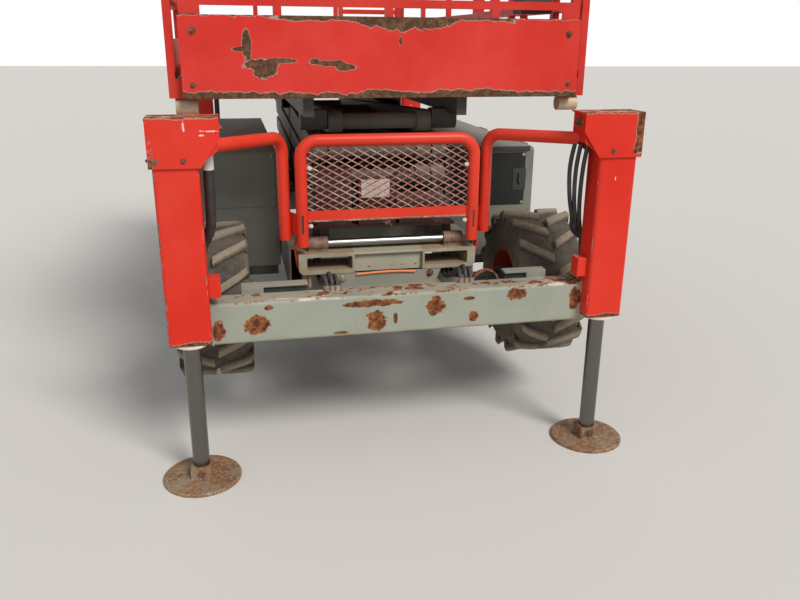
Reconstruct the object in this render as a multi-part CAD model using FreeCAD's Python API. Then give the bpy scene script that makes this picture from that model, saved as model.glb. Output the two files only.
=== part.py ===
import FreeCAD, Part
import math
import os

from FreeCAD import Vector

os.makedirs("parts", exist_ok=True)

# Self-propelled rough-terrain scissor lift, standing level on its four extended outriggers.
# X is across the machine, Y runs along it and Z is up; the steering end with the mesh guard faces -Y.
# The origin is on the ground, below the middle of the machine. All sizes are in millimetres.

# Overall machine
OVERALL_WIDTH = 2340.0
RUNNING_GAP = 6.0
PIN_GAP = 0.05
SEAT_GAP = 0.3
OPEN_PIVOT_GAP = 0.6

# Outriggers: a square leg tube, a chromed rod and a round pad at each corner
LEG_OVERHANG = 500.0
LEG_WIDTH = 203.0
LEG_DEPTH = 150.0
LEG_WALL = 8.0
LEG_CORNER = 20.0
LEG_BOTTOM = 761.0
LEG_TOP = 1700.0
COLLAR_HEIGHT = 26.0
COLLAR_LIP = 5.0
HOOD_BOTTOM = 1614.0
HOOD_TOP = 1820.0
HOOD_PLATE = 6.0
HOOD_REACH = 88.0
HOOD_CUT = 66.0
HOOD_PIN_RADIUS = 15.0
HOOD_PIN_HEIGHT = 1768.0
ROD_RADIUS = 42.5
ROD_TOP = 1230.0
ROD_GAP = 0.5
PAD_RADIUS = 197.0
PAD_THICK = 18.0
PAD_LIP = 14.0
SOCKET_SIDE = 108.0
SOCKET_HEIGHT = 62.0
STOP_BLOCK = (34.0, 70.0, 92.0)
STOP_BLOCK_HEIGHT = 985.0
LEG_LUG_RADIUS = 44.0
LEG_LUG_PLATE = 16.0
LEG_LUG_HEIGHT = 330.0
LEG_LUG_EDGE = 4.0
TIE_DOWN_HOLE = 20.0

# Cross beams that carry the legs
BEAM_BOTTOM = 721.0
BEAM_HEIGHT = 212.0
BEAM_DEPTH = 155.0
BEAM_SETBACK = 81.0
BEAM_WALL = 8.0
BEAM_CORNER = 16.0
BEAM_MOUNT_HALF = 300.0
BEAM_MOUNT_TOP = 850.0
BEAM_MOUNT_PLATE_TOP = 926.0
BEAM_MOUNT_PLATE = 12.0
BEAM_MOUNT_FLARE = 70.0
BEAM_MOUNT_RISE = 20.0
REAR_CROSS_DEPTH = 30.0

# Wheels and steering
TYRE_RADIUS = 440.0
TYRE_WIDTH = 406.0
TYRE_TREAD = 406.0
TYRE_BEAD = 212.0
TYRE_SHOULDER = 45.0
LUG_COUNT = 15
LUG_THICK = 46.0
LUG_LENGTH = 232.0
LUG_ANGLE = 38.0
LUG_CENTRE = 96.0
LUG_TOP = TYRE_RADIUS - 7.0
WHEEL_HEIGHT = 736.0
AXLE_INSET = 130.0
RIM_WALL = 10.0
RIM_DISC = 14.0
RIM_DISC_OFFSET = 118.0
HUB_RADIUS = 78.0
HUB_LENGTH = 66.0
HUB_BORE_DEPTH = 46.0
SPINDLE_RADIUS = 40.0
SPINDLE_END_GAP = 2.0
HUB_CAP = 34.0
RIM_INSET = 18.0
KINGPIN_INSET = 100.0
KINGPIN_RADIUS = 25.0
KINGPIN_HEAD = 14.0
KNUCKLE_FLANGE_STEP = 26.0
KNUCKLE_FLANGE_ROOT = 14.0
KNUCKLE_RADIUS = 52.0
KNUCKLE_HALF = 58.0
YOKE_PLATE = 24.0
YOKE_SETBACK = 30.0
YOKE_WALL = 40.0
STEER_ARM_REACH = (170.0, 110.0)
STEER_ARM_PLATE = 20.0
STEER_ARM_HALF = 30.0
STEER_ARM_NECK = 27.0
STEER_ROD_RADIUS = 16.0
STEER_EYE_RADIUS = 24.0
STEER_EYE_HEIGHT = 36.0
STEER_EYE_BORE = 12.0
STEER_BARREL_RADIUS = 34.0
STEER_BARREL_HALF = 280.0
STEER_CLAMP = (60.0, 20.0)

# Axles and chassis
AXLE_DEPTH = 120.0
AXLE_HEIGHT = 120.0
AXLE_END_DEPTH = 84.0
AXLE_FLANGE_STEP = 28.0
AXLE_FLANGE = (60.0, 40.0)
RAIL_OUTER = 540.0
RAIL_WIDTH = 80.0
RAIL_TOP = 1050.0
RAIL_WALL = 10.0
RAIL_OVERHANG = 152.0
CROSS_DEPTH = 110.0
CROSS_HEIGHT = 150.0
CROSS_STATION = 560.0
EAR_SEAT = 30.0

# Fork pocket frame behind the front beam
FORK_DEPTH = 150.0
FORK_HALF_WIDTH = 500.0
FORK_BOTTOM = 930.0
FORK_TOP = 1045.0
FORK_PLATE = 12.0
FORK_CORNER = 34.0
POCKET_INNER = 205.0
POCKET_OUTER = 455.0
POCKET_BOTTOM = 952.0
POCKET_TOP = 1026.0
POCKET_CORNER = 10.0
FORK_RECESS = 26.0
SHACKLE_LUG_WIDTH = 44.0
SHACKLE_LUG_DROP = 96.0
SHACKLE_LUG_X = 440.0
SHACKLE_LUG_PLATE = 16.0
SHACKLE_LUG_SETBACK = 50.0
SHACKLE_HOLE = 11.0
CROSS_ROD_RADIUS = 22.0
CROSS_ROD_SETBACK = 88.0
BOSS_RADIUS = 38.0
BOSS_SPAN = (330.0, 440.0)
BOSS_FOOT = 12.0

# Front guard
GUARD_TUBE_RADIUS = 32.0
GUARD_HALF = 473.0
GUARD_TOP = 1655.0
GUARD_BOTTOM = 1092.0
GUARD_BEND = 92.0
CROSSBAR_HEIGHT = 60.0
CROSSBAR_BOTTOM = 1225.0
CROSSBAR_THICK = 8.0
CROSSBAR_FLANGE = 30.0
GUARD_WELD = 3.0
SIDE_HOOP_X = 562.0
SIDE_HOOP_SETBACK = 60.0
SIDE_HOOP_TOP = 1668.0
SIDE_HOOP_BOTTOM = 1122.0
SIDE_HOOP_BEND = 88.0
SIDE_HOOP_START_X = 905.0
SIDE_HOOP_START_SETBACK = 88.0
SIDE_HOOP_START_HEIGHT = 1692.0
WEB_HEIGHT = 120.0
WEB_RISE = 30.0
WEB_THICK = 8.0
STRAP_THICK = 7.0
STRAP_OFFSET = 10.0
STRAP_WIDTH = 46.0
STRAP_DROP = 60.0
STRAP_BULGE = 14.0
STRAP_KNEE = 30.0
MESH_THICK = 4.0
MESH_COLUMNS = 13
MESH_ROWS = 8
MESH_STRAND = 9.0

# Scissor stack: each level has an outer and an inner frame of the same length
ARM_LENGTH = 3100.0
ARM_LEVELS = 4
CYLINDER_HEAD_LEVEL = 2
ARM_PITCH = 158.0
ARM_HEIGHT = 120.0
ARM_WIDTH = 80.0
ARM_WALL = 8.0
ARM_INNER_X = 210.0
ARM_SIDE_GAP = 10.0
ARM_BASE_RISE = 40.0
ARM_PIN_RADIUS = 25.0
ARM_TUBE_RADIUS = 44.0
ARM_RAISED_ANGLE = 60.0
ARM_END_RADIUS = 56.0
ARM_END_BLOCK = 20.0
END_PIN_REACH = 20.0
SLIDE_ROLLER_RADIUS = 34.0
SLIDE_OVERRUN = 110.0
SLIDE_ROLLER_WIDTH = 42.0
TRACK_FOOT_INSET = 60.0
TRACK_FOOT_HALF = 40.0
TRACK_FOOT_DEPTH = 46.0
CHANNEL_WALL = 10.0
CHANNEL_GAP = 2.0
BRACKET_PLATE = 40.0

# Lift cylinder between the lower two inner frames
CYLINDER_FOOT_INSET = 150.0
CYLINDER_HEAD = 200.0
CYLINDER_RADIUS = 60.0
CYLINDER_ROD_RADIUS = 40.0
CYLINDER_EYE_RADIUS = 54.0
CYLINDER_EYE_HALF = 38.0
CYLINDER_PIN_RADIUS = 28.0
CYLINDER_NECK = 150.0
CYLINDER_ROD_LENGTH = 800.0
CYLINDER_EYE_WELD = 12.0
CYLINDER_BASE = 30.0
GLAND_LENGTH = 60.0
GLAND_WALL = 8.0
HEAD_LUG_PLATE = 18.0
HEAD_LUG_RISE = 112.0
HEAD_LUG_HALF = 40.0
HEAD_BEAM_RADIUS = 36.0
HEAD_BEAM_LIP = 6.0
HEAD_BEAM_PLATE = 34.0
HEAD_BEAM_PLATE_HALF = 70.0
STUB_PIN_REACH = 30.0

# Pump, valve block and oil tank on the shelf behind the mesh
SHELF_INSET = 100.0
SHELF_PLATE = 10.0
SHELF_SETBACK = 70.0
SHELF_ARM_GAP = 30.0
SHELF_RISE = 40.0
SHELF_POST = 40.0
VALVE_SPAN = (-150.0, 60.0)
VALVE_HEIGHT = 240.0
PUMP_SPAN = (60.0, 300.0)
PUMP_RADIUS = 62.0
PUMP_HEIGHT = 120.0
PUMP_FOOT_SPAN = (80.0, 280.0)
PUMP_FOOT_HALF = 40.0
SPOOL_STATIONS = (-110.0, -50.0, 10.0)
SPOOL_RADIUS = 22.0
SPOOL_HEIGHT = 90.0
OIL_TANK_SPAN = (-380.0, -190.0)
OIL_TANK_HEIGHT = 320.0

# Side cabinets
CABINET_INNER = 548.0
CABINET_OUTER = 1134.0
CABINET_FRONT_GAP = 104.0
CABINET_REAR_GAP = 30.0
CABINET_BOTTOM = 760.0
CABINET_TOP = 1492.0
CABINET_WALL = 6.0
CABINET_SILL = 60.0
BRACKET_HALF = 60.0
BRACKET_INSETS = (226.0, 300.0)
BRACKET_EDGE = 20.0
DOOR_THICK = 24.0
DOOR_MARGIN = 14.0
DOOR_CORNER = 18.0
DOOR_LATCH_HALF = 60.0
DOOR_LATCH_RISE = 120.0
DOOR_LATCH_DEPTH = 6.0
DOOR_HINGE_RADIUS = 9.0
DOOR_HINGE_REACH = 14.0
DOOR_HINGE_LENGTH = 60.0
DOOR_HINGE_SLACK = 1.0
DOOR_HINGE_LEAF = 5.0
DOOR_HINGE_DROP = 6.0
DOOR_HINGE_WELD = 2.0
DOOR_HINGE_INSETS = (206.0, 200.0)
DOOR_HINGE_MIDDLE = 40.0
ENGINE_SIZE = (420.0, 900.0, 470.0)
TANK_SIZE = (420.0, 1300.0, 420.0)
BLOCK_WALL_GAP = 40.0

# Platform
DECK_HALF = 1105.0
DECK_FRONT_OVERHANG = 252.0
DECK_REAR_OVERHANG = 302.0
DECK_FRAME_RISE = 146.0
DECK_FRAME_DEPTH = 92.0
DECK_PLATE = 8.0
DECK_SIDE_WIDTH = 36.0
DECK_SIDE_RISE = 40.0
RUNNER_INSET = 20.0
DECK_EAR_RADIUS = 46.0
DECK_EAR_RISE = 20.0
SLIDE_STRIP = (70.0, 20.0, 60.0)
DECK_CROSS_WIDTH = 70.0
DECK_CROSS_STATIONS = (-1400.0, -700.0, 0.0, 700.0, 1400.0)
TUBE = 40.0
RAIL_HEIGHT = 1100.0
MID_RAIL = 740.0
LOW_RAIL = 365.0
TOE_HEIGHT = 150.0
TOE_PLATE = 4.0
TOE_INSET = 2.0
REAR_POST_X = -520.0
SIDE_POST_STEPS = (0.0, 900.0, 1800.0, 2700.0)
GATE_LEFT = 250.0
GATE_RIGHT = 850.0
GATE_GAP = 8.0
HINGE_RADIUS = 9.0
HINGE_PIN = 5.0
HINGE_LUG = 24.0
HINGE_SETBACK = 10.0
HINGE_LEAF = 12.0
HINGE_WELD = 4.0
GATE_HINGE_HEIGHTS = (250.0, 900.0)
LADDER_X = (300.0, 730.0)
LADDER_SETBACK = 22.0
RUNG_RISE = 40.0
LADDER_LUG_INSETS = (10.0, 20.0)
LADDER_BOTTOM = 960.0
LADDER_STILE = (20.0, 60.0)
LADDER_RUNGS = 4
RUNG_RADIUS = 15.0
ROLLER_RADIUS = 40.0
ROLLER_WIDTH = 110.0
ROLLER_INSET = 26.0
ROLLER_BRACKET_HALF = 14.0

# Extension deck that slides out over the front
EXT_SIDE_GAP = 69.0
EXT_FLOOR_INSET = 6.0
EXT_RUNNER = (40.0, 30.0)
EXT_LENGTH = 1800.0
EXT_FLOOR_GAP = 12.0
EXT_FLOOR_THICK = 10.0
EXT_PANEL_RISE = 302.0
EXT_PANEL_THICK = 8.0
EXT_PANEL_RETURN = 44.0
EXT_POST_STEPS = (290.0, 990.0, 1750.0)
EXT_FRONT_POSTS = (-560.0, 0.0, 560.0)
CORNER_PLATE = (60.0, 6.0)
CONTROL_BOX = (170.0, 130.0, 150.0)
CONTROL_BOX_INSET = 236.0
CONTROL_BOX_GAP = 28.0
CONTROL_BOX_SLOPE = 50.0
CONTROL_STICK = (14.0, 70.0, 30.0)

ARM_BASE_HEIGHT = RAIL_TOP + ARM_BASE_RISE
ARM_TOP_HEIGHT = ARM_BASE_HEIGHT + ARM_LEVELS * ARM_PITCH
DECK_FRAME_BOTTOM = ARM_TOP_HEIGHT + DECK_FRAME_RISE
DECK_TOP = DECK_FRAME_BOTTOM + DECK_FRAME_DEPTH
EXT_PANEL_TOP = DECK_TOP + EXT_PANEL_RISE
STOWED_ANGLE = math.degrees(math.asin(ARM_PITCH / ARM_LENGTH))
ARM_SPAN = ARM_LENGTH * math.cos(math.radians(STOWED_ANGLE))
ARM_END_Y = ARM_SPAN / 2
CYLINDER_FOOT = ARM_LENGTH / 2 - CYLINDER_FOOT_INSET
HALF_WIDTH = OVERALL_WIDTH / 2
RAIL_HALF_LENGTH = ARM_END_Y + RAIL_OVERHANG
FORK_FRONT = RAIL_HALF_LENGTH + FORK_DEPTH
HALF_LENGTH = FORK_FRONT + LEG_OVERHANG
WHEEL_Y = RAIL_HALF_LENGTH - AXLE_INSET
CROSS_ENDS = RAIL_HALF_LENGTH - CROSS_DEPTH / 2
CROSS_STATIONS = (-CROSS_ENDS, -CROSS_STATION, CROSS_STATION, CROSS_ENDS)
CROSS_ROD_Y = FORK_FRONT - CROSS_ROD_SETBACK
GUARD_Y = FORK_FRONT
SIDE_HOOP_Y = FORK_FRONT - SIDE_HOOP_SETBACK
SIDE_HOOP_START = (SIDE_HOOP_START_X, HALF_LENGTH - SIDE_HOOP_START_SETBACK, SIDE_HOOP_START_HEIGHT)
CABINET_FRONT = WHEEL_Y - TYRE_RADIUS - CABINET_FRONT_GAP
CABINET_REAR = WHEEL_Y - TYRE_RADIUS - CABINET_REAR_GAP
BRACKET_STATIONS = (BRACKET_INSETS[0] - CABINET_FRONT, 0.0, CABINET_REAR - BRACKET_INSETS[1])
DOOR_HINGE_FRONT = DOOR_HINGE_INSETS[0] - CABINET_FRONT
DOOR_HINGE_STATIONS = (DOOR_HINGE_FRONT, DOOR_HINGE_MIDDLE, CABINET_REAR - DOOR_HINGE_INSETS[1])
DECK_FRONT = ARM_END_Y + DECK_FRONT_OVERHANG
DECK_REAR = ARM_END_Y + DECK_REAR_OVERHANG
SIDE_POSTS = tuple(TUBE / 2 - DECK_FRONT + step for step in SIDE_POST_STEPS) + (DECK_REAR - TUBE / 2,)
LADDER_Y = DECK_REAR + LADDER_SETBACK
EXT_HALF = DECK_HALF - EXT_SIDE_GAP
EXT_FLOOR_HALF = EXT_HALF - EXT_FLOOR_INSET
EXT_SIDE_POSTS = tuple(step - FORK_FRONT for step in EXT_POST_STEPS)
CONTROL_BOX_X = EXT_HALF - CONTROL_BOX_INSET
CONTROL_BOX_HEIGHT = EXT_PANEL_TOP + CONTROL_BOX_GAP
ARM_OUTER_X = ARM_INNER_X + ARM_WIDTH + ARM_SIDE_GAP
LEG_CENTRE_X = HALF_WIDTH - LEG_WIDTH / 2
LEG_CENTRE_Y = HALF_LENGTH - LEG_DEPTH / 2
BEAM_FRONT = HALF_LENGTH - BEAM_SETBACK
BEAM_BACK = BEAM_FRONT - BEAM_DEPTH
WHEEL_X = HALF_WIDTH - TYRE_WIDTH / 2
KINGPIN_X = WHEEL_X - KINGPIN_INSET
AXLE_TOP = WHEEL_HEIGHT + AXLE_HEIGHT / 2
RAIL_INNER = RAIL_OUTER - RAIL_WIDTH

CORNERS = (("front_left", -1, -1), ("front_right", 1, -1), ("rear_left", -1, 1), ("rear_right", 1, 1))
SIDES = (("left", -1), ("right", 1))


def box(x0, x1, y0, y1, z0, z1):
    """A box between two corners given in any order."""
    low = Vector(min(x0, x1), min(y0, y1), min(z0, z1))
    return Part.makeBox(abs(x1 - x0), abs(y1 - y0), abs(z1 - z0), low)


def rod(start, end, radius):
    """A round bar between two points."""
    start = Vector(*start)
    axis = Vector(*end) - start
    return Part.makeCylinder(radius, axis.Length, start, axis)


def fuse(shapes):
    """One solid made of shapes that meet or overlap."""
    whole = shapes[0].multiFuse(shapes[1:]) if len(shapes) > 1 else shapes[0]
    return whole.removeSplitter()


def prism(points, direction):
    """A polygon face pushed along a direction."""
    corners = [Vector(*point) for point in points]
    face = Part.Face(Part.makePolygon(corners + corners[:1]))
    return face.extrude(Vector(*direction))


def mirror_x(shape):
    """The same shape on the other side of the machine's centre plane."""
    return shape.mirror(Vector(0, 0, 0), Vector(1, 0, 0))


def mirror_y(shape):
    """The same shape at the other end of the machine."""
    return shape.mirror(Vector(0, 0, 0), Vector(0, 1, 0))


def rounded_rectangle(width, depth, radius, height, base):
    """An upright block with rounded vertical corners, centred on a base point."""
    half_w = width / 2
    half_d = depth / 2
    block = box(-half_w, half_w, -half_d, half_d, 0, height)
    upright = [edge for edge in block.Edges if abs(edge.tangentAt(edge.FirstParameter).z) > 0.9]
    block = block.makeFillet(radius, upright)
    block.translate(Vector(*base))
    return block


def bent_tube(points, bend, radius):
    """A round tube with closed ends along straight runs joined by tangent arcs."""
    corners = [Vector(*point) for point in points]
    pieces = []
    start = corners[0]
    for before, corner, after in zip(corners, corners[1:], corners[2:]):
        into = (corner - before).normalize()
        out = (after - corner).normalize()
        turn = into.getAngle(out)
        arc_start = corner - into * (bend * math.tan(turn / 2))
        arc_end = corner + out * (bend * math.tan(turn / 2))
        centre = corner + (out - into).normalize() * (bend / math.cos(turn / 2))
        pieces.append(rod(start, arc_start, radius))
        ring = Part.Face(Part.Wire(Part.makeCircle(radius, arc_start, into)))
        pieces.append(ring.revolve(centre, into.cross(out), math.degrees(turn)))
        start = arc_end
    pieces.append(rod(start, corners[-1], radius))
    return fuse(pieces)


def save(name, shape):
    """Write one sub-part."""
    shape.exportStep("parts/" + name + ".step")


def outrigger_leg(side, end):
    """One leg: a square tube with its foot collar, folded hood, stop block and tie-down lug."""
    outer = rounded_rectangle(LEG_WIDTH, LEG_DEPTH, LEG_CORNER, LEG_TOP - LEG_BOTTOM,
                              (LEG_CENTRE_X, -LEG_CENTRE_Y, LEG_BOTTOM))
    bore = rounded_rectangle(LEG_WIDTH - 2 * LEG_WALL, LEG_DEPTH - 2 * LEG_WALL, LEG_CORNER - LEG_WALL,
                             LEG_TOP - LEG_BOTTOM - COLLAR_HEIGHT,
                             (LEG_CENTRE_X, -LEG_CENTRE_Y, LEG_BOTTOM + COLLAR_HEIGHT))
    gland = rod((LEG_CENTRE_X, -LEG_CENTRE_Y, LEG_BOTTOM),
                (LEG_CENTRE_X, -LEG_CENTRE_Y, LEG_BOTTOM + COLLAR_HEIGHT), ROD_RADIUS + ROD_GAP)
    lip = rounded_rectangle(LEG_WIDTH - 2 * COLLAR_LIP, LEG_DEPTH - 2 * COLLAR_LIP, LEG_CORNER - COLLAR_LIP,
                            COLLAR_LIP, (LEG_CENTRE_X, -LEG_CENTRE_Y, LEG_BOTTOM - COLLAR_LIP))
    lip = lip.cut(rod((LEG_CENTRE_X, -LEG_CENTRE_Y, LEG_BOTTOM - COLLAR_LIP),
                      (LEG_CENTRE_X, -LEG_CENTRE_Y, LEG_BOTTOM), ROD_RADIUS + ROD_GAP))
    tube = outer.cut(bore).cut(gland)
    leg_inner = HALF_WIDTH - LEG_WIDTH
    front = -HALF_LENGTH
    hood_x = leg_inner - HOOD_REACH
    outline = [(HALF_WIDTH, HOOD_BOTTOM), (leg_inner, HOOD_BOTTOM), (hood_x, HOOD_BOTTOM + HOOD_CUT),
               (hood_x, HOOD_TOP), (HALF_WIDTH, HOOD_TOP)]
    plates = []
    for low, high in ((front, front + HOOD_PLATE), (front + LEG_DEPTH - HOOD_PLATE, front + LEG_DEPTH)):
        plates.append(prism([(x, low, z) for x, z in outline], (0, high - low, 0)))
    back = front + LEG_DEPTH
    lid = box(hood_x, HALF_WIDTH, front, back, HOOD_TOP - HOOD_PLATE, HOOD_TOP)
    outer_wall = box(HALF_WIDTH - HOOD_PLATE, HALF_WIDTH, front, back, LEG_TOP - LEG_CORNER, HOOD_TOP)
    shield = box(hood_x, hood_x + HOOD_PLATE, front, back, HOOD_BOTTOM + HOOD_CUT, HOOD_TOP)
    pin_x = leg_inner - HOOD_REACH / 2
    pin = rod((pin_x, front - HOOD_PLATE, HOOD_PIN_HEIGHT), (pin_x, back + HOOD_PLATE, HOOD_PIN_HEIGHT),
              HOOD_PIN_RADIUS)
    pin = pin.common(box(-HALF_WIDTH, HALF_WIDTH, front, 0, 0, HOOD_TOP))
    stop_w, stop_d, stop_h = STOP_BLOCK
    stop = box(leg_inner - stop_w, leg_inner, -LEG_CENTRE_Y - stop_d / 2, -LEG_CENTRE_Y + stop_d / 2,
               STOP_BLOCK_HEIGHT, STOP_BLOCK_HEIGHT + stop_h)
    lug_z = LEG_BOTTOM + LEG_LUG_HEIGHT
    lug_y = back
    hole_y = back + LEG_LUG_RADIUS + LEG_LUG_EDGE
    lug = fuse([rod((LEG_CENTRE_X - LEG_LUG_PLATE / 2, lug_y + LEG_LUG_RADIUS, lug_z),
                    (LEG_CENTRE_X + LEG_LUG_PLATE / 2, lug_y + LEG_LUG_RADIUS, lug_z), LEG_LUG_RADIUS),
                box(LEG_CENTRE_X - LEG_LUG_PLATE / 2, LEG_CENTRE_X + LEG_LUG_PLATE / 2, lug_y,
                    lug_y + LEG_LUG_RADIUS, lug_z - LEG_LUG_RADIUS, lug_z + LEG_LUG_RADIUS)])
    lug = lug.cut(rod((LEG_CENTRE_X - LEG_LUG_PLATE, hole_y, lug_z),
                      (LEG_CENTRE_X + LEG_LUG_PLATE, hole_y, lug_z), TIE_DOWN_HOLE))
    leg = fuse([tube, lip] + plates + [lid, outer_wall, shield, pin, stop, lug])
    leg = leg if side > 0 else mirror_x(leg)
    return leg if end < 0 else mirror_y(leg)


def outrigger_rod(side, end):
    """The chromed rod of one outrigger, from its pad socket up inside the leg."""
    x = side * LEG_CENTRE_X
    y = end * LEG_CENTRE_Y
    return rod((x, y, PAD_THICK), (x, y, ROD_TOP), ROD_RADIUS)


def outrigger_pad(side, end):
    """A round foot plate with a turned-up rim and a short square socket round the rod."""
    x = side * LEG_CENTRE_X
    y = end * LEG_CENTRE_Y
    plate = Part.makeCylinder(PAD_RADIUS, PAD_THICK, Vector(x, y, 0))
    rim = [edge for edge in plate.Edges if edge.BoundBox.ZMin > PAD_THICK / 2 and edge.BoundBox.ZLength < 1]
    plate = plate.makeChamfer(PAD_LIP / 2, rim)
    half = SOCKET_SIDE / 2
    socket = box(x - half, x + half, y - half, y + half, PAD_THICK, PAD_THICK + SOCKET_HEIGHT)
    bore = rod((x, y, PAD_THICK), (x, y, PAD_THICK + SOCKET_HEIGHT), ROD_RADIUS)
    return fuse([plate, socket]).cut(bore)


def cross_beam(end):
    """The box beam between two legs."""
    reach = HALF_WIDTH - LEG_WIDTH
    def tube(inset):
        corner = BEAM_CORNER - inset * 0.75
        block = box(-reach, reach, -BEAM_FRONT + inset, -BEAM_BACK - inset, BEAM_BOTTOM + inset,
                    BEAM_BOTTOM + BEAM_HEIGHT - inset)
        along = [edge for edge in block.Edges if abs(edge.tangentAt(edge.FirstParameter).x) > 0.9]
        return block.makeFillet(corner, along)
    beam = tube(0).cut(tube(BEAM_WALL))
    return beam if end < 0 else mirror_y(beam)


def chassis_frame():
    """Two box rails joined by cross members, with the mounts of both beams and the scissor's fixed pivots."""
    pieces = []
    for _, side in SIDES:
        rail = box(side * RAIL_INNER, side * RAIL_OUTER, -RAIL_HALF_LENGTH, RAIL_HALF_LENGTH, AXLE_TOP,
                   RAIL_TOP)
        hollow = box(side * (RAIL_INNER + RAIL_WALL), side * (RAIL_OUTER - RAIL_WALL), -RAIL_HALF_LENGTH,
                     RAIL_HALF_LENGTH, AXLE_TOP + RAIL_WALL, RAIL_TOP - RAIL_WALL)
        pieces.append(rail.cut(hollow))
    for station in CROSS_STATIONS:
        pieces.append(box(-RAIL_INNER, RAIL_INNER, station - CROSS_DEPTH / 2, station + CROSS_DEPTH / 2,
                          AXLE_TOP, AXLE_TOP + CROSS_HEIGHT))
    for end in (-1, 1):
        near = end * RAIL_HALF_LENGTH
        far = end * BEAM_BACK
        low_z = BEAM_BOTTOM + BEAM_MOUNT_RISE
        pieces.append(box(-BEAM_MOUNT_HALF, BEAM_MOUNT_HALF, near, far, low_z, BEAM_MOUNT_TOP))
        face_y = end * FORK_FRONT
        low = BEAM_MOUNT_HALF - BEAM_MOUNT_FLARE
        outline = [(-low, low_z + BEAM_MOUNT_RISE), (low, low_z + BEAM_MOUNT_RISE),
                   (BEAM_MOUNT_HALF, BEAM_MOUNT_PLATE_TOP), (-BEAM_MOUNT_HALF, BEAM_MOUNT_PLATE_TOP)]
        pieces.append(prism([(x, face_y, z) for x, z in outline], (0, -end * BEAM_MOUNT_PLATE, 0)))
        if end > 0:
            pieces.append(box(-RAIL_OUTER, RAIL_OUTER, near, near + REAR_CROSS_DEPTH, AXLE_TOP, RAIL_TOP))
    base_z = ARM_BASE_HEIGHT
    for _, side in SIDES:
        inner = side * (ARM_OUTER_X + ARM_WIDTH + RUNNING_GAP)
        outer = side * (ARM_OUTER_X + ARM_WIDTH + RUNNING_GAP + BRACKET_PLATE)
        seat_z = RAIL_TOP - EAR_SEAT
        ear = fuse([rod((inner, -ARM_END_Y, base_z), (outer, -ARM_END_Y, base_z), ARM_END_RADIUS),
                    box(inner, outer, -ARM_END_Y - ARM_END_RADIUS, -ARM_END_Y + ARM_END_RADIUS, seat_z,
                        base_z),
                    box(inner, side * RAIL_INNER, -ARM_END_Y - ARM_END_RADIUS, -ARM_END_Y + ARM_END_RADIUS,
                        seat_z - EAR_SEAT, seat_z)])
        bore = rod((inner, -ARM_END_Y, base_z), (outer, -ARM_END_Y, base_z), ARM_PIN_RADIUS + PIN_GAP)
        pieces.append(ear.cut(bore))
    return fuse(pieces)


def slide_channel(low_y, high_y, height):
    """A pair of channels, open inwards, that guide the slide blocks at the free end of a frame."""
    half = SLIDE_ROLLER_RADIUS + CHANNEL_GAP
    inner = ARM_OUTER_X + ARM_WIDTH + RUNNING_GAP
    outer = inner + SLIDE_ROLLER_WIDTH + 2 * CHANNEL_GAP
    channel = box(inner, outer + CHANNEL_WALL, low_y, high_y, height - half - CHANNEL_WALL,
                  height + half + CHANNEL_WALL)
    channel = channel.cut(box(inner, outer, low_y, high_y, height - half, height + half))
    return channel


def scissor_tracks():
    """The lower slide channels on the chassis rails, with the feet that hold them."""
    start = ARM_SPAN / 2 - ARM_LENGTH * (math.cos(math.radians(STOWED_ANGLE))
                                         - math.cos(math.radians(ARM_RAISED_ANGLE))) - SLIDE_OVERRUN
    finish = ARM_END_Y + SLIDE_OVERRUN
    channel = slide_channel(start, finish, ARM_BASE_HEIGHT)
    inner = ARM_OUTER_X + ARM_WIDTH + RUNNING_GAP
    outer = inner + SLIDE_ROLLER_WIDTH + 2 * CHANNEL_GAP + CHANNEL_WALL
    foot_top = ARM_BASE_HEIGHT - SLIDE_ROLLER_RADIUS - CHANNEL_GAP - CHANNEL_WALL
    feet = []
    for station in (start + TRACK_FOOT_INSET, (start + finish) / 2, finish - TRACK_FOOT_INSET):
        near = station - TRACK_FOOT_HALF
        far = station + TRACK_FOOT_HALF
        feet.append(box(inner, RAIL_INNER, near, far, foot_top - TRACK_FOOT_DEPTH, foot_top))
        feet.append(box(outer, RAIL_INNER, near, far, foot_top, ARM_BASE_HEIGHT))
    right = fuse([channel] + feet)
    return Part.makeCompound([right, mirror_x(right)])


def arm_side(x0, x1):
    """One side of an arm frame along Y: a box tube with rounded, bored ends, centred on its middle."""
    half = ARM_LENGTH / 2
    tube = box(x0, x1, -half, half, -ARM_HEIGHT / 2, ARM_HEIGHT / 2)
    hollow = box(x0 + ARM_WALL, x1 - ARM_WALL, -half + ARM_END_RADIUS + ARM_END_BLOCK, -ARM_END_RADIUS,
                 -ARM_HEIGHT / 2 + ARM_WALL, ARM_HEIGHT / 2 - ARM_WALL)
    other = box(x0 + ARM_WALL, x1 - ARM_WALL, ARM_END_RADIUS, half - ARM_END_RADIUS - ARM_END_BLOCK,
                -ARM_HEIGHT / 2 + ARM_WALL, ARM_HEIGHT / 2 - ARM_WALL)
    ends = [rod((x0, y, 0), (x1, y, 0), ARM_HEIGHT / 2) for y in (-half, half)]
    return fuse([tube] + ends).cut(hollow).cut(other)


def level_place(level, slope):
    """The placement of a frame of one level; slope is +1 for an outer frame and -1 for an inner one."""
    height = ARM_BASE_HEIGHT + (level - 0.5) * ARM_PITCH
    turn = FreeCAD.Rotation(Vector(1, 0, 0), slope * STOWED_ANGLE)
    return FreeCAD.Placement(Vector(0, 0, height), turn)


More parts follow.
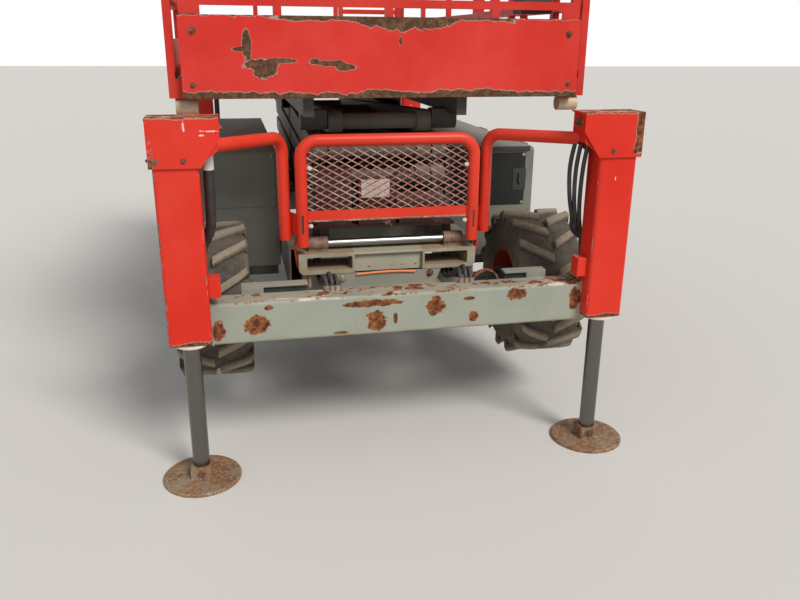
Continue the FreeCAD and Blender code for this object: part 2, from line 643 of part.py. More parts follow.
def outer_frame(level):
    """Two outer arm sides on one centre shaft, with end pins that reach into the inner frames."""
    half = ARM_LENGTH / 2
    x0 = ARM_OUTER_X
    x1 = ARM_OUTER_X + ARM_WIDTH
    pieces = []
    for side in (-1, 1):
        pieces.append(arm_side(min(side * x0, side * x1), max(side * x0, side * x1)))
        inward = side * (ARM_INNER_X - END_PIN_REACH)
        outward = side * (x1 + RUNNING_GAP + BRACKET_PLATE)
        bottom_start = outward if level == 1 else side * x1
        bottom_end = side * x0 if level == 1 else inward
        top_start = side * x1
        top_end = inward
        if level == ARM_LEVELS:
            top_start = side * (x1 + RUNNING_GAP + CHANNEL_GAP)
            top_end = side * x0
            roller_end = top_start + side * SLIDE_ROLLER_WIDTH
            pieces.append(rod((top_start, half, 0), (roller_end, half, 0), SLIDE_ROLLER_RADIUS))
        pieces.append(rod((bottom_start, -half, 0), (bottom_end, -half, 0), ARM_PIN_RADIUS))
        pieces.append(rod((top_start, half, 0), (top_end, half, 0), ARM_PIN_RADIUS))
        if level == CYLINDER_HEAD_LEVEL:
            stub = side * (ARM_INNER_X - STUB_PIN_REACH)
            pieces.append(rod((stub, 0, 0), (side * x1, 0, 0), ARM_PIN_RADIUS))
    if level != CYLINDER_HEAD_LEVEL:
        pieces.append(rod((-x1, 0, 0), (x1, 0, 0), ARM_PIN_RADIUS))
    frame = fuse(pieces)
    frame.Placement = level_place(level, 1)
    return frame


def head_beam():
    """The beam that carries the lift cylinder's head: a tube above the arms' centre line with eye lugs."""
    y = -CYLINDER_HEAD
    beam_end = ARM_INNER_X - HEAD_BEAM_PLATE
    plate_top = HEAD_LUG_RISE + HEAD_BEAM_RADIUS + HEAD_BEAM_LIP
    pieces = [rod((-beam_end, y, HEAD_LUG_RISE), (beam_end, y, HEAD_LUG_RISE), HEAD_BEAM_RADIUS)]
    for side in (-1, 1):
        pieces.append(box(side * beam_end, side * ARM_INNER_X, y - HEAD_BEAM_PLATE_HALF,
                          y + HEAD_BEAM_PLATE_HALF, -HEAD_LUG_HALF, plate_top))
        inner = side * (CYLINDER_EYE_HALF + RUNNING_GAP)
        outer = inner + side * HEAD_LUG_PLATE
        lug = fuse([rod((inner, y, 0), (outer, y, 0), CYLINDER_EYE_RADIUS),
                    box(inner, outer, y - HEAD_LUG_HALF, y + HEAD_LUG_HALF, 0, HEAD_LUG_RISE)])
        pieces.append(lug.cut(rod((inner, y, 0), (outer, y, 0), CYLINDER_PIN_RADIUS)))
    return pieces


def inner_frame(level):
    """Two inner arm sides joined by bored cross tubes at the ends and the middle."""
    half = ARM_LENGTH / 2
    x0 = ARM_INNER_X
    x1 = ARM_INNER_X + ARM_WIDTH
    sides = [arm_side(min(side * x0, side * x1), max(side * x0, side * x1)) for side in (-1, 1)]
    pieces = sides + [rod((-x0, y, 0), (x0, y, 0), ARM_TUBE_RADIUS) for y in (-half, half)]
    if level == CYLINDER_HEAD_LEVEL:
        pieces += [rod((side * (x0 - STUB_PIN_REACH), 0, 0), (side * x0, 0, 0), ARM_TUBE_RADIUS)
                   for side in (-1, 1)]
        pieces += head_beam()
    else:
        pieces.append(rod((-x0, 0, 0), (x0, 0, 0), ARM_TUBE_RADIUS))
    if level == 1:
        pieces.append(rod((-x0, -CYLINDER_FOOT, 0), (x0, -CYLINDER_FOOT, 0), CYLINDER_PIN_RADIUS))
    frame = fuse(pieces)
    end_gap = PIN_GAP if level % 2 == 0 else OPEN_PIVOT_GAP
    for y, gap in ((-half, end_gap), (0, PIN_GAP), (half, end_gap)):
        frame = frame.cut(rod((-x1, y, 0), (x1, y, 0), ARM_PIN_RADIUS + gap))
    extra = []
    if level == 1:
        finish = ARM_OUTER_X + ARM_WIDTH + RUNNING_GAP + CHANNEL_GAP
        for side in (-1, 1):
            stub = side * (x0 - STUB_PIN_REACH)
            roller_end = side * (finish + SLIDE_ROLLER_WIDTH)
            extra.append(rod((stub, half, 0), (side * finish, half, 0), ARM_PIN_RADIUS + end_gap))
            extra.append(rod((side * finish, half, 0), (roller_end, half, 0), SLIDE_ROLLER_RADIUS))
    if extra:
        frame = fuse([frame] + extra)
    frame.Placement = level_place(level, -1)
    return frame


def cylinder_line():
    """The foot point, the unit direction and the stowed length of the lift cylinder."""
    tilt = math.radians(STOWED_ANGLE)
    foot = Vector(0, -CYLINDER_FOOT * math.cos(tilt),
                  ARM_BASE_HEIGHT + 0.5 * ARM_PITCH + CYLINDER_FOOT * math.sin(tilt))
    head = Vector(0, -CYLINDER_HEAD * math.cos(tilt),
                  ARM_BASE_HEIGHT + 1.5 * ARM_PITCH + CYLINDER_HEAD * math.sin(tilt))
    run = head - foot
    length = run.Length
    return foot, run.normalize(), length


def lift_barrel():
    """The barrel of the lift cylinder with its foot eye."""
    foot, run, length = cylinder_line()
    mouth = foot + run * (length - CYLINDER_NECK)
    start = foot + run * (CYLINDER_EYE_RADIUS - CYLINDER_EYE_WELD)
    tube = rod(tuple(start), tuple(mouth), CYLINDER_RADIUS)
    base = foot + run * (CYLINDER_EYE_RADIUS + CYLINDER_BASE)
    bore = rod(tuple(base), tuple(mouth), CYLINDER_ROD_RADIUS + ROD_GAP)
    reach = CYLINDER_EYE_HALF
    eye = rod((-reach, foot.y, foot.z), (reach, foot.y, foot.z), CYLINDER_EYE_RADIUS)
    gland = rod(tuple(mouth - run * GLAND_LENGTH), tuple(mouth), CYLINDER_RADIUS + GLAND_WALL)
    hole = rod((-CYLINDER_RADIUS, foot.y, foot.z), (CYLINDER_RADIUS, foot.y, foot.z),
               CYLINDER_PIN_RADIUS + PIN_GAP)
    return fuse([tube, eye, gland]).cut(bore).cut(hole)


def lift_rod():
    """The rod of the lift cylinder with its head eye."""
    foot, run, length = cylinder_line()
    head = foot + run * length
    weld = head - run * (CYLINDER_EYE_RADIUS - CYLINDER_EYE_WELD)
    shaft = rod(tuple(head - run * CYLINDER_ROD_LENGTH), tuple(weld), CYLINDER_ROD_RADIUS)
    reach = CYLINDER_EYE_HALF
    eye = rod((-reach, head.y, head.z), (reach, head.y, head.z), CYLINDER_EYE_RADIUS)
    hole = rod((-reach, head.y, head.z), (reach, head.y, head.z), CYLINDER_PIN_RADIUS)
    return fuse([shaft, eye]).cut(hole)


def fork_frame():
    """The pocketed cross plate that takes a truck's forks, with its two shackle lugs."""
    back = RAIL_HALF_LENGTH
    outline = box(-FORK_HALF_WIDTH, FORK_HALF_WIDTH, -FORK_FRONT, -back, FORK_BOTTOM, FORK_TOP)
    ends = [edge for edge in outline.Edges
            if abs(edge.tangentAt(edge.FirstParameter).y) > 0.9 and edge.BoundBox.ZMin < FORK_BOTTOM + 1]
    body = outline.makeFillet(FORK_CORNER, ends)
    pockets = []
    for _, side in SIDES:
        pocket = box(side * POCKET_INNER, side * POCKET_OUTER, -FORK_FRONT, -back, POCKET_BOTTOM, POCKET_TOP)
        along = [edge for edge in pocket.Edges if abs(edge.tangentAt(edge.FirstParameter).y) > 0.9]
        pockets.append(pocket.makeFillet(POCKET_CORNER, along))
    recess_half = POCKET_INNER - FORK_PLATE
    recess = box(-recess_half, recess_half, -FORK_FRONT, -FORK_FRONT + FORK_RECESS, FORK_BOTTOM,
                 FORK_TOP - FORK_PLATE)
    body = body.cut(pockets[0]).cut(pockets[1]).cut(recess)
    lugs = []
    for _, side in SIDES:
        x = side * SHACKLE_LUG_X
        tip = FORK_BOTTOM - SHACKLE_LUG_DROP + SHACKLE_LUG_WIDTH / 2
        y = -FORK_FRONT + SHACKLE_LUG_SETBACK
        near = x - SHACKLE_LUG_PLATE / 2
        far = x + SHACKLE_LUG_PLATE / 2
        lug = fuse([rod((near, y, tip), (far, y, tip), SHACKLE_LUG_WIDTH / 2),
                    box(near, far, y - SHACKLE_LUG_WIDTH / 2, y + SHACKLE_LUG_WIDTH / 2, tip,
                        FORK_BOTTOM + FORK_PLATE)])
        lugs.append(lug.cut(rod((near, y, tip), (far, y, tip), SHACKLE_HOLE)))
    return fuse([body] + lugs)


def cross_rod():
    """The steel rod above the fork frame, held in two bosses."""
    z = FORK_TOP + BOSS_RADIUS
    near, far = BOSS_SPAN
    pieces = [rod((-near, -CROSS_ROD_Y, z), (near, -CROSS_ROD_Y, z), CROSS_ROD_RADIUS)]
    for _, side in SIDES:
        pieces.append(rod((side * near, -CROSS_ROD_Y, z), (side * far, -CROSS_ROD_Y, z), BOSS_RADIUS))
        pieces.append(box(side * near, side * far, -CROSS_ROD_Y - BOSS_RADIUS, -CROSS_ROD_Y + BOSS_RADIUS,
                          FORK_TOP, FORK_TOP + BOSS_FOOT))
    return fuse(pieces)


def front_guard():
    """The bent tube hoop with its cross bar, the two side hoops and the straps that tie them to the frame."""
    hoop = bent_tube([(-GUARD_HALF, -GUARD_Y, GUARD_BOTTOM), (-GUARD_HALF, -GUARD_Y, GUARD_TOP),
                      (GUARD_HALF, -GUARD_Y, GUARD_TOP), (GUARD_HALF, -GUARD_Y, GUARD_BOTTOM)],
                     GUARD_BEND, GUARD_TUBE_RADIUS)
    inner = GUARD_HALF - GUARD_TUBE_RADIUS + GUARD_WELD
    bar = box(-inner, inner, -GUARD_Y - CROSSBAR_THICK / 2, -GUARD_Y + CROSSBAR_THICK / 2, CROSSBAR_BOTTOM,
              CROSSBAR_BOTTOM + CROSSBAR_HEIGHT)
    flange = box(-inner, inner, -GUARD_Y - CROSSBAR_THICK / 2, -GUARD_Y + CROSSBAR_FLANGE, CROSSBAR_BOTTOM,
                 CROSSBAR_BOTTOM + CROSSBAR_THICK)
    pieces = [hoop, bar, flange]
    start_x, start_y, start_z = SIDE_HOOP_START
    for _, side in SIDES:
        side_hoop = bent_tube([(side * start_x, -start_y, start_z),
                               (side * SIDE_HOOP_X, -SIDE_HOOP_Y, SIDE_HOOP_TOP),
                               (side * SIDE_HOOP_X, -SIDE_HOOP_Y, SIDE_HOOP_BOTTOM)],
                              SIDE_HOOP_BEND, GUARD_TUBE_RADIUS)
        hood_face = HALF_WIDTH - LEG_WIDTH - HOOD_REACH
        beyond = box(side * hood_face, side * HALF_WIDTH, -HALF_LENGTH, -SIDE_HOOP_Y, SIDE_HOOP_BOTTOM,
                     HOOD_TOP)
        pieces.append(side_hoop.cut(beyond))
        inner_edge = side * (GUARD_HALF + GUARD_TUBE_RADIUS - GUARD_WELD)
        outer_edge = side * (SIDE_HOOP_X - GUARD_TUBE_RADIUS + GUARD_WELD)
        web_z = SIDE_HOOP_BOTTOM + WEB_RISE
        web = [(inner_edge, -GUARD_Y, web_z), (outer_edge, -SIDE_HOOP_Y, web_z),
               (outer_edge, -SIDE_HOOP_Y + WEB_THICK, web_z), (inner_edge, -GUARD_Y + WEB_THICK, web_z)]
        pieces.append(prism(web, (0, 0, WEB_HEIGHT)))
        strap_y = -GUARD_Y + GUARD_TUBE_RADIUS - 2 * GUARD_WELD
        knee_x = FORK_HALF_WIDTH + STRAP_BULGE
        knee_z = FORK_TOP + STRAP_KNEE
        foot_z = FORK_BOTTOM + FORK_CORNER
        head_x = GUARD_HALF + STRAP_OFFSET
        head_z = CROSSBAR_BOTTOM - STRAP_DROP
        outline = [(head_x, head_z), (head_x + STRAP_THICK, head_z),
                   (knee_x + STRAP_THICK, knee_z + STRAP_THICK), (FORK_HALF_WIDTH + STRAP_THICK, foot_z),
                   (FORK_HALF_WIDTH, foot_z), (knee_x, knee_z)]
        pieces.append(prism([(side * x, strap_y, z) for x, z in outline], (0, STRAP_WIDTH, 0)))
    return fuse(pieces)


def guard_mesh():
    """Expanded metal inside the hoop: a thin sheet pierced by staggered diamonds."""
    half = GUARD_HALF - GUARD_TUBE_RADIUS
    low = CROSSBAR_BOTTOM + CROSSBAR_HEIGHT
    high = GUARD_TOP - GUARD_TUBE_RADIUS
    y = -GUARD_Y - MESH_THICK / 2
    sheet = box(-half, half, y, y + MESH_THICK, low, high)
    top_edges = [edge for edge in sheet.Edges
                 if abs(edge.tangentAt(edge.FirstParameter).y) > 0.9 and edge.BoundBox.ZMin > high - 1]
    sheet = sheet.makeFillet(GUARD_BEND - GUARD_TUBE_RADIUS, top_edges)
    pitch_x = 2 * half / MESH_COLUMNS
    pitch_z = (high - low) / MESH_ROWS
    reach_x = pitch_x / 2 - MESH_STRAND
    reach_z = pitch_z / 2 - MESH_STRAND * pitch_z / pitch_x
    holes = []
    for row in range(2 * MESH_ROWS - 1):
        z = low + (row + 1) * pitch_z / 2
        shift = 0.5 if row % 2 == 0 else 1.0
        count = MESH_COLUMNS if row % 2 == 0 else MESH_COLUMNS - 1
        for column in range(count):
            x = -half + (column + shift) * pitch_x
            if abs(x) > half - GUARD_BEND / 2 and z > high - GUARD_BEND / 2:
                continue
            diamond = [(x - reach_x, y, z), (x, y, z - reach_z), (x + reach_x, y, z), (x, y, z + reach_z)]
            holes.append(prism(diamond, (0, MESH_THICK, 0)))
    return sheet.cut(Part.makeCompound(holes))


def hydraulic_block():
    """The pump, valve block and oil tank on their shelf behind the mesh."""
    front = -FORK_FRONT + SHELF_SETBACK
    back = -ARM_END_Y - ARM_HEIGHT / 2 - SHELF_ARM_GAP
    middle = (front + back) / 2
    shelf_half = FORK_HALF_WIDTH - SHELF_INSET
    under = FORK_TOP + 2 * BOSS_RADIUS + SHELF_RISE
    top = under + SHELF_PLATE
    lip = SHELF_PLATE * 2
    pieces = [box(-shelf_half, shelf_half, front + lip, back, under, top)]
    for side in (-1, 1):
        pieces.append(box(side * shelf_half, side * (shelf_half - SHELF_POST), back - SHELF_POST, back,
                          AXLE_TOP + CROSS_HEIGHT, under))
    wall = back - SHELF_PLATE
    pieces.append(box(*VALVE_SPAN, front + 2 * lip, wall, top, top + VALVE_HEIGHT))
    pieces.append(box(*OIL_TANK_SPAN, front + SHELF_PLATE + lip, wall, top, top + OIL_TANK_HEIGHT))
    pump_z = under + PUMP_HEIGHT
    pieces.append(rod((PUMP_SPAN[0], middle, pump_z), (PUMP_SPAN[1], middle, pump_z), PUMP_RADIUS))
    pieces.append(box(*PUMP_FOOT_SPAN, middle - PUMP_FOOT_HALF, middle + PUMP_FOOT_HALF, top,
                      pump_z - PUMP_FOOT_HALF))
    for x in SPOOL_STATIONS:
        pieces.append(rod((x, front + lip, under + SPOOL_HEIGHT), (x, front + 2 * lip, under + SPOOL_HEIGHT),
                          SPOOL_RADIUS))
    return fuse(pieces)


def cabinet(side):
    """A sheet-metal module between the wheels, open on its outer side where the door closes it."""
    shell = box(CABINET_INNER, CABINET_OUTER, -CABINET_FRONT, CABINET_REAR, CABINET_BOTTOM, CABINET_TOP)
    space = box(CABINET_INNER + CABINET_WALL, CABINET_OUTER, -CABINET_FRONT + CABINET_WALL,
                CABINET_REAR - CABINET_WALL, CABINET_BOTTOM + CABINET_WALL, CABINET_TOP - CABINET_WALL)
    sill = box(CABINET_OUTER - CABINET_WALL, CABINET_OUTER, -CABINET_FRONT, CABINET_REAR, CABINET_BOTTOM,
               CABINET_BOTTOM + CABINET_SILL)
    brackets = [box(RAIL_OUTER, CABINET_INNER, y - BRACKET_HALF, y + BRACKET_HALF, AXLE_TOP + BRACKET_EDGE,
                    RAIL_TOP - BRACKET_EDGE) for y in BRACKET_STATIONS]
    module = fuse([shell.cut(space), sill] + brackets + door_hinge(False))
    return module if side > 0 else mirror_x(module)


def door_hinge(on_door):
    """The top hinge of a door: bored barrels on the door between pinned barrels on the module."""
    x = CABINET_OUTER + DOOR_HINGE_REACH
    z = CABINET_TOP - DOOR_MARGIN + DOOR_HINGE_RADIUS
    half = DOOR_HINGE_LENGTH / 2
    radius = DOOR_HINGE_RADIUS - DOOR_HINGE_SLACK
    leaf = DOOR_HINGE_LEAF
    pieces = []
    for station in DOOR_HINGE_STATIONS:
        low = station - half
        high = station + half
        if on_door:
            barrel = fuse([rod((x, low, z), (x, high, z), radius),
                           box(x - leaf, x + leaf, low, high, z - DOOR_HINGE_RADIUS - DOOR_HINGE_DROP, z)])
            pieces.append(barrel.cut(rod((x, low, z), (x, high, z), HINGE_PIN + PIN_GAP)))
        else:
            for way in (-1, 1):
                near = station + way * (half + SEAT_GAP)
                far = near + way * DOOR_HINGE_LENGTH
                pieces.append(rod((x, near, z), (x, far, z), radius))
                pieces.append(box(CABINET_OUTER - DOOR_HINGE_WELD, x, near, far, z - leaf, z + leaf))
            pieces.append(rod((x, low - DOOR_HINGE_SLACK, z), (x, high + DOOR_HINGE_SLACK, z), HINGE_PIN))
    return pieces


def cabinet_door(side):
    """The door of a module, hung from a round hinge bar along its top edge."""
    low = CABINET_BOTTOM + DOOR_MARGIN
    high = CABINET_TOP - DOOR_MARGIN
    inner = CABINET_OUTER + RUNNING_GAP / 2
    panel = box(inner, inner + DOOR_THICK, DOOR_MARGIN - CABINET_FRONT, CABINET_REAR - DOOR_MARGIN, low,
                high)
    corners = [edge for edge in panel.Edges if abs(edge.tangentAt(edge.FirstParameter).x) > 0.9]
    panel = panel.makeFillet(DOOR_CORNER, corners)
    latch_low = low + DOOR_LATCH_RISE
    outer = inner + DOOR_THICK
    latch = box(outer - DOOR_LATCH_DEPTH, outer, -DOOR_LATCH_HALF, DOOR_LATCH_HALF, latch_low,
                latch_low + DOOR_LATCH_HALF)
    door = fuse([panel.cut(latch)] + door_hinge(True))
    return door if side > 0 else mirror_x(door)


def heavy_block(side):
    """The engine on one side and the tank on the other, each a plain block on the module's floor."""
    width, length, height = ENGINE_SIZE if side > 0 else TANK_SIZE
    x = CABINET_INNER + CABINET_WALL + BLOCK_WALL_GAP
    block = box(x, x + width, -length / 2, length / 2, CABINET_BOTTOM + CABINET_WALL,
                CABINET_BOTTOM + CABINET_WALL + height)
    return block if side > 0 else mirror_x(block)


def axle(end):
    """An axle beam: yokes with kingpin bores at the steering end, fixed spindles at the other."""
    half_d = AXLE_DEPTH / 2
    half_h = AXLE_HEIGHT / 2
    y = end * WHEEL_Y
    reach = KINGPIN_X - KNUCKLE_RADIUS - RUNNING_GAP - YOKE_SETBACK
    beam = box(-RAIL_OUTER, RAIL_OUTER, y - half_d, y + half_d, WHEEL_HEIGHT - half_h, WHEEL_HEIGHT + half_h)
    pieces = [beam]
    for _, side in SIDES:
        if end < 0:
            narrow = AXLE_END_DEPTH / 2
            pieces.append(box(side * RAIL_OUTER, side * reach, y - narrow, y + narrow, WHEEL_HEIGHT - half_h,
                              WHEEL_HEIGHT + half_h))
            lip = KNUCKLE_HALF + RUNNING_GAP
            pieces.append(box(side * (reach - YOKE_WALL), side * reach, y - narrow, y + narrow,
                              WHEEL_HEIGHT - lip - YOKE_PLATE, WHEEL_HEIGHT + lip + YOKE_PLATE))
            for low in (WHEEL_HEIGHT + lip, WHEEL_HEIGHT - lip - YOKE_PLATE):
                pieces.append(box(side * (reach - YOKE_WALL), side * KINGPIN_X, y - narrow, y + narrow, low,
                                  low + YOKE_PLATE))
                pieces.append(Part.makeCylinder(narrow, YOKE_PLATE, Vector(side * KINGPIN_X, y, low)))
        else:
            hub_face = WHEEL_X + TYRE_WIDTH / 2 - RIM_DISC_OFFSET - HUB_LENGTH
            flange_start, spindle_start = (hub_face - setback for setback in AXLE_FLANGE)
            spindle_end = hub_face + HUB_BORE_DEPTH - SPINDLE_END_GAP
            for near, far, radius in ((RAIL_OUTER, spindle_start, half_h),
                                      (flange_start, hub_face - RUNNING_GAP, half_h + AXLE_FLANGE_STEP),
                                      (spindle_start, spindle_end, SPINDLE_RADIUS)):
                pieces.append(rod((side * near, y, WHEEL_HEIGHT), (side * far, y, WHEEL_HEIGHT), radius))
    body = fuse(pieces)
    if end < 0:
        body = fuse([body, steering_barrel()])
        bore_half = KNUCKLE_HALF + 3 * YOKE_PLATE
        for _, side in SIDES:
            body = body.cut(Part.makeCylinder(KINGPIN_RADIUS + PIN_GAP, 2 * bore_half,
                                              Vector(side * KINGPIN_X, y, WHEEL_HEIGHT - bore_half)))
    return body


def steering_knuckle(side):
    """A knuckle on its kingpin with the wheel spindle and the steering arm below the yoke."""
    y = -WHEEL_Y
    lip = KNUCKLE_HALF + RUNNING_GAP
    hub_face = WHEEL_X + TYRE_WIDTH / 2 - RIM_DISC_OFFSET - HUB_LENGTH
    arm_top = WHEEL_HEIGHT - lip - YOKE_PLATE - RUNNING_GAP
    arm_x, arm_y = STEER_ARM_REACH
    barrel = Part.makeCylinder(KNUCKLE_RADIUS, 2 * KNUCKLE_HALF,
                               Vector(KINGPIN_X, y, WHEEL_HEIGHT - KNUCKLE_HALF))
    pin = Part.makeCylinder(KINGPIN_RADIUS, 2 * lip + 2 * YOKE_PLATE + RUNNING_GAP + KINGPIN_HEAD,
                            Vector(KINGPIN_X, y, arm_top))
    flange = rod((KINGPIN_X + KNUCKLE_RADIUS - KNUCKLE_FLANGE_ROOT, y, WHEEL_HEIGHT),
                 (hub_face - RUNNING_GAP, y, WHEEL_HEIGHT), HUB_RADIUS - KNUCKLE_FLANGE_STEP)
    spindle_end = hub_face + HUB_BORE_DEPTH - SPINDLE_END_GAP
    spindle = rod((KINGPIN_X, y, WHEEL_HEIGHT), (spindle_end, y, WHEEL_HEIGHT), SPINDLE_RADIUS)
    low = arm_top - STEER_ARM_PLATE
    end_x = KINGPIN_X - arm_x
    end_y = y + arm_y
    length = math.hypot(arm_x, arm_y)
    nx = arm_y / length * STEER_ARM_NECK
    ny = arm_x / length * STEER_ARM_NECK
    arm = prism([(KINGPIN_X + nx, y + ny, low), (end_x + nx, end_y + ny, low), (end_x - nx, end_y - ny, low),
                 (KINGPIN_X - nx, y - ny, low)], (0, 0, STEER_ARM_PLATE))
    rounds = [Part.makeCylinder(STEER_ARM_HALF, STEER_ARM_PLATE, Vector(KINGPIN_X, y, low)),
              Part.makeCylinder(STEER_ARM_HALF, STEER_ARM_PLATE, Vector(end_x, end_y, low))]
    knuckle = fuse([barrel, pin, flange, spindle, arm] + rounds)
    knuckle = knuckle.cut(Part.makeCylinder(STEER_EYE_BORE, STEER_ARM_PLATE, Vector(end_x, end_y, low)))
    return knuckle if side > 0 else mirror_x(knuckle)


def steering_rod_height():
    """The height of the steering cylinder's centre line, just under the steering arms."""
    arm_low = WHEEL_HEIGHT - KNUCKLE_HALF - 3 * RUNNING_GAP - YOKE_PLATE - STEER_ARM_PLATE
    return arm_low - STEER_EYE_HEIGHT / 2


def steering_barrel():
    """The steering cylinder's barrel and the two clamps that hold it behind the front axle."""
    y = -WHEEL_Y + STEER_ARM_REACH[1]
    z = steering_rod_height()
    barrel = rod((-STEER_BARREL_HALF, y, z), (STEER_BARREL_HALF, y, z), STEER_BARREL_RADIUS)
    far, near = STEER_CLAMP
    clamps = [box(side * (STEER_BARREL_HALF - far), side * (STEER_BARREL_HALF - near),
                  -WHEEL_Y + AXLE_DEPTH / 2, y + STEER_BARREL_RADIUS, z - STEER_BARREL_RADIUS,
                  WHEEL_HEIGHT) for side in (-1, 1)]
    bore = rod((-STEER_BARREL_HALF, y, z), (STEER_BARREL_HALF, y, z), STEER_ROD_RADIUS + ROD_GAP)
    return fuse([barrel] + clamps).cut(bore)


def steering_rod():
    """The through rod of the steering cylinder with an eye under the end of each steering arm."""
    x = KINGPIN_X - STEER_ARM_REACH[0]
    y = -WHEEL_Y + STEER_ARM_REACH[1]
    z = steering_rod_height()
    low = z - STEER_EYE_HEIGHT / 2
    body = rod((-x, y, z), (x, y, z), STEER_ROD_RADIUS)
    for side in (-1, 1):
        body = fuse([body, Part.makeCylinder(STEER_EYE_RADIUS, STEER_EYE_HEIGHT, Vector(side * x, y, low))])
        body = body.cut(Part.makeCylinder(STEER_EYE_BORE, STEER_EYE_HEIGHT, Vector(side * x, y, low)))
    return body


def tyre_carcass():
    """The tyre without its lugs: flat-sided rings of one panel to each lug, from bead to bead."""
    half = TYRE_WIDTH / 2
    panels = 2 * LUG_COUNT
    profile = [(-half, TYRE_BEAD), (-half, TYRE_TREAD - TYRE_SHOULDER), (-half + TYRE_SHOULDER, TYRE_TREAD),
               (half - TYRE_SHOULDER, TYRE_TREAD), (half, TYRE_TREAD - TYRE_SHOULDER), (half, TYRE_BEAD)]
    rings = []
    for x, radius in profile:
        turns = [2 * math.pi * (index + 0.5) / panels for index in range(panels)]
        rings.append([Vector(x, radius * math.sin(turn), radius * math.cos(turn)) for turn in turns])
    faces = []
    for ring, following in zip(rings, rings[1:] + rings[:1]):
        for index in range(panels):
            after = (index + 1) % panels
            corners = [ring[index], ring[after], following[after], following[index]]
            faces.append(Part.Face(Part.makePolygon(corners + corners[:1])))
    return Part.Solid(Part.makeShell(faces)).removeSplitter()


def tyre():
    """A flotation tyre at the origin, its axle along X, with two rows of slanted lugs."""
    lugs = []
    pitch = 360.0 / LUG_COUNT
    for index in range(LUG_COUNT):
        for side, shift in ((-1, 0.0), (1, 0.5)):
            lug = box(-LUG_LENGTH / 2, LUG_LENGTH / 2, -LUG_THICK / 2, LUG_THICK / 2,
                      TYRE_TREAD - TYRE_SHOULDER, LUG_TOP)
            lug.rotate(Vector(0, 0, 0), Vector(0, 0, 1), side * LUG_ANGLE)
            lug.translate(Vector(side * LUG_CENTRE, 0, 0))
            lug.rotate(Vector(0, 0, 0), Vector(1, 0, 0), (index + shift) * pitch)
            lugs.append(lug)
    return tyre_carcass().multiFuse(lugs)


def rim():
    """A wheel at the origin with its disc set towards +X, a hub and a blind spindle bore."""
    half = TYRE_WIDTH / 2
    seat = TYRE_BEAD * math.cos(math.pi / (2 * LUG_COUNT)) - SEAT_GAP
    reach = half - RIM_INSET
    outer = rod((-reach, 0, 0), (reach, 0, 0), seat)
    inner = rod((-reach, 0, 0), (reach, 0, 0), seat - RIM_WALL)
    barrel = outer.cut(inner)
    disc_x = half - RIM_DISC_OFFSET
    disc = rod((disc_x - RIM_DISC, 0, 0), (disc_x, 0, 0), seat - RIM_WALL / 2)
    hub_face = disc_x - HUB_LENGTH
    hub = rod((hub_face, 0, 0), (disc_x + HUB_CAP, 0, 0), HUB_RADIUS)
    bore = rod((hub_face, 0, 0), (hub_face + HUB_BORE_DEPTH, 0, 0), SPINDLE_RADIUS + PIN_GAP)
    return fuse([barrel, disc, hub]).cut(bore)


def at_wheel(shape, side, end):
    """A wheel piece moved from the origin to its corner, its disc facing outwards."""
    placed = shape.copy() if side > 0 else mirror_x(shape)
    placed.translate(Vector(side * WHEEL_X, end * WHEEL_Y, WHEEL_HEIGHT))
    return placed


def square_bar(start, end, size=TUBE):
    """A square tube between two points that differ along one axis only."""
    half = size / 2
    low = [min(a, b) for a, b in zip(start, end)]
    high = [max(a, b) for a, b in zip(start, end)]
    spans = [0.0 if abs(a - b) > 1e-6 else half for a, b in zip(start, end)]
    return box(low[0] - spans[0], high[0] + spans[0], low[1] - spans[1], high[1] + spans[1],
               low[2] - spans[2], high[2] + spans[2])


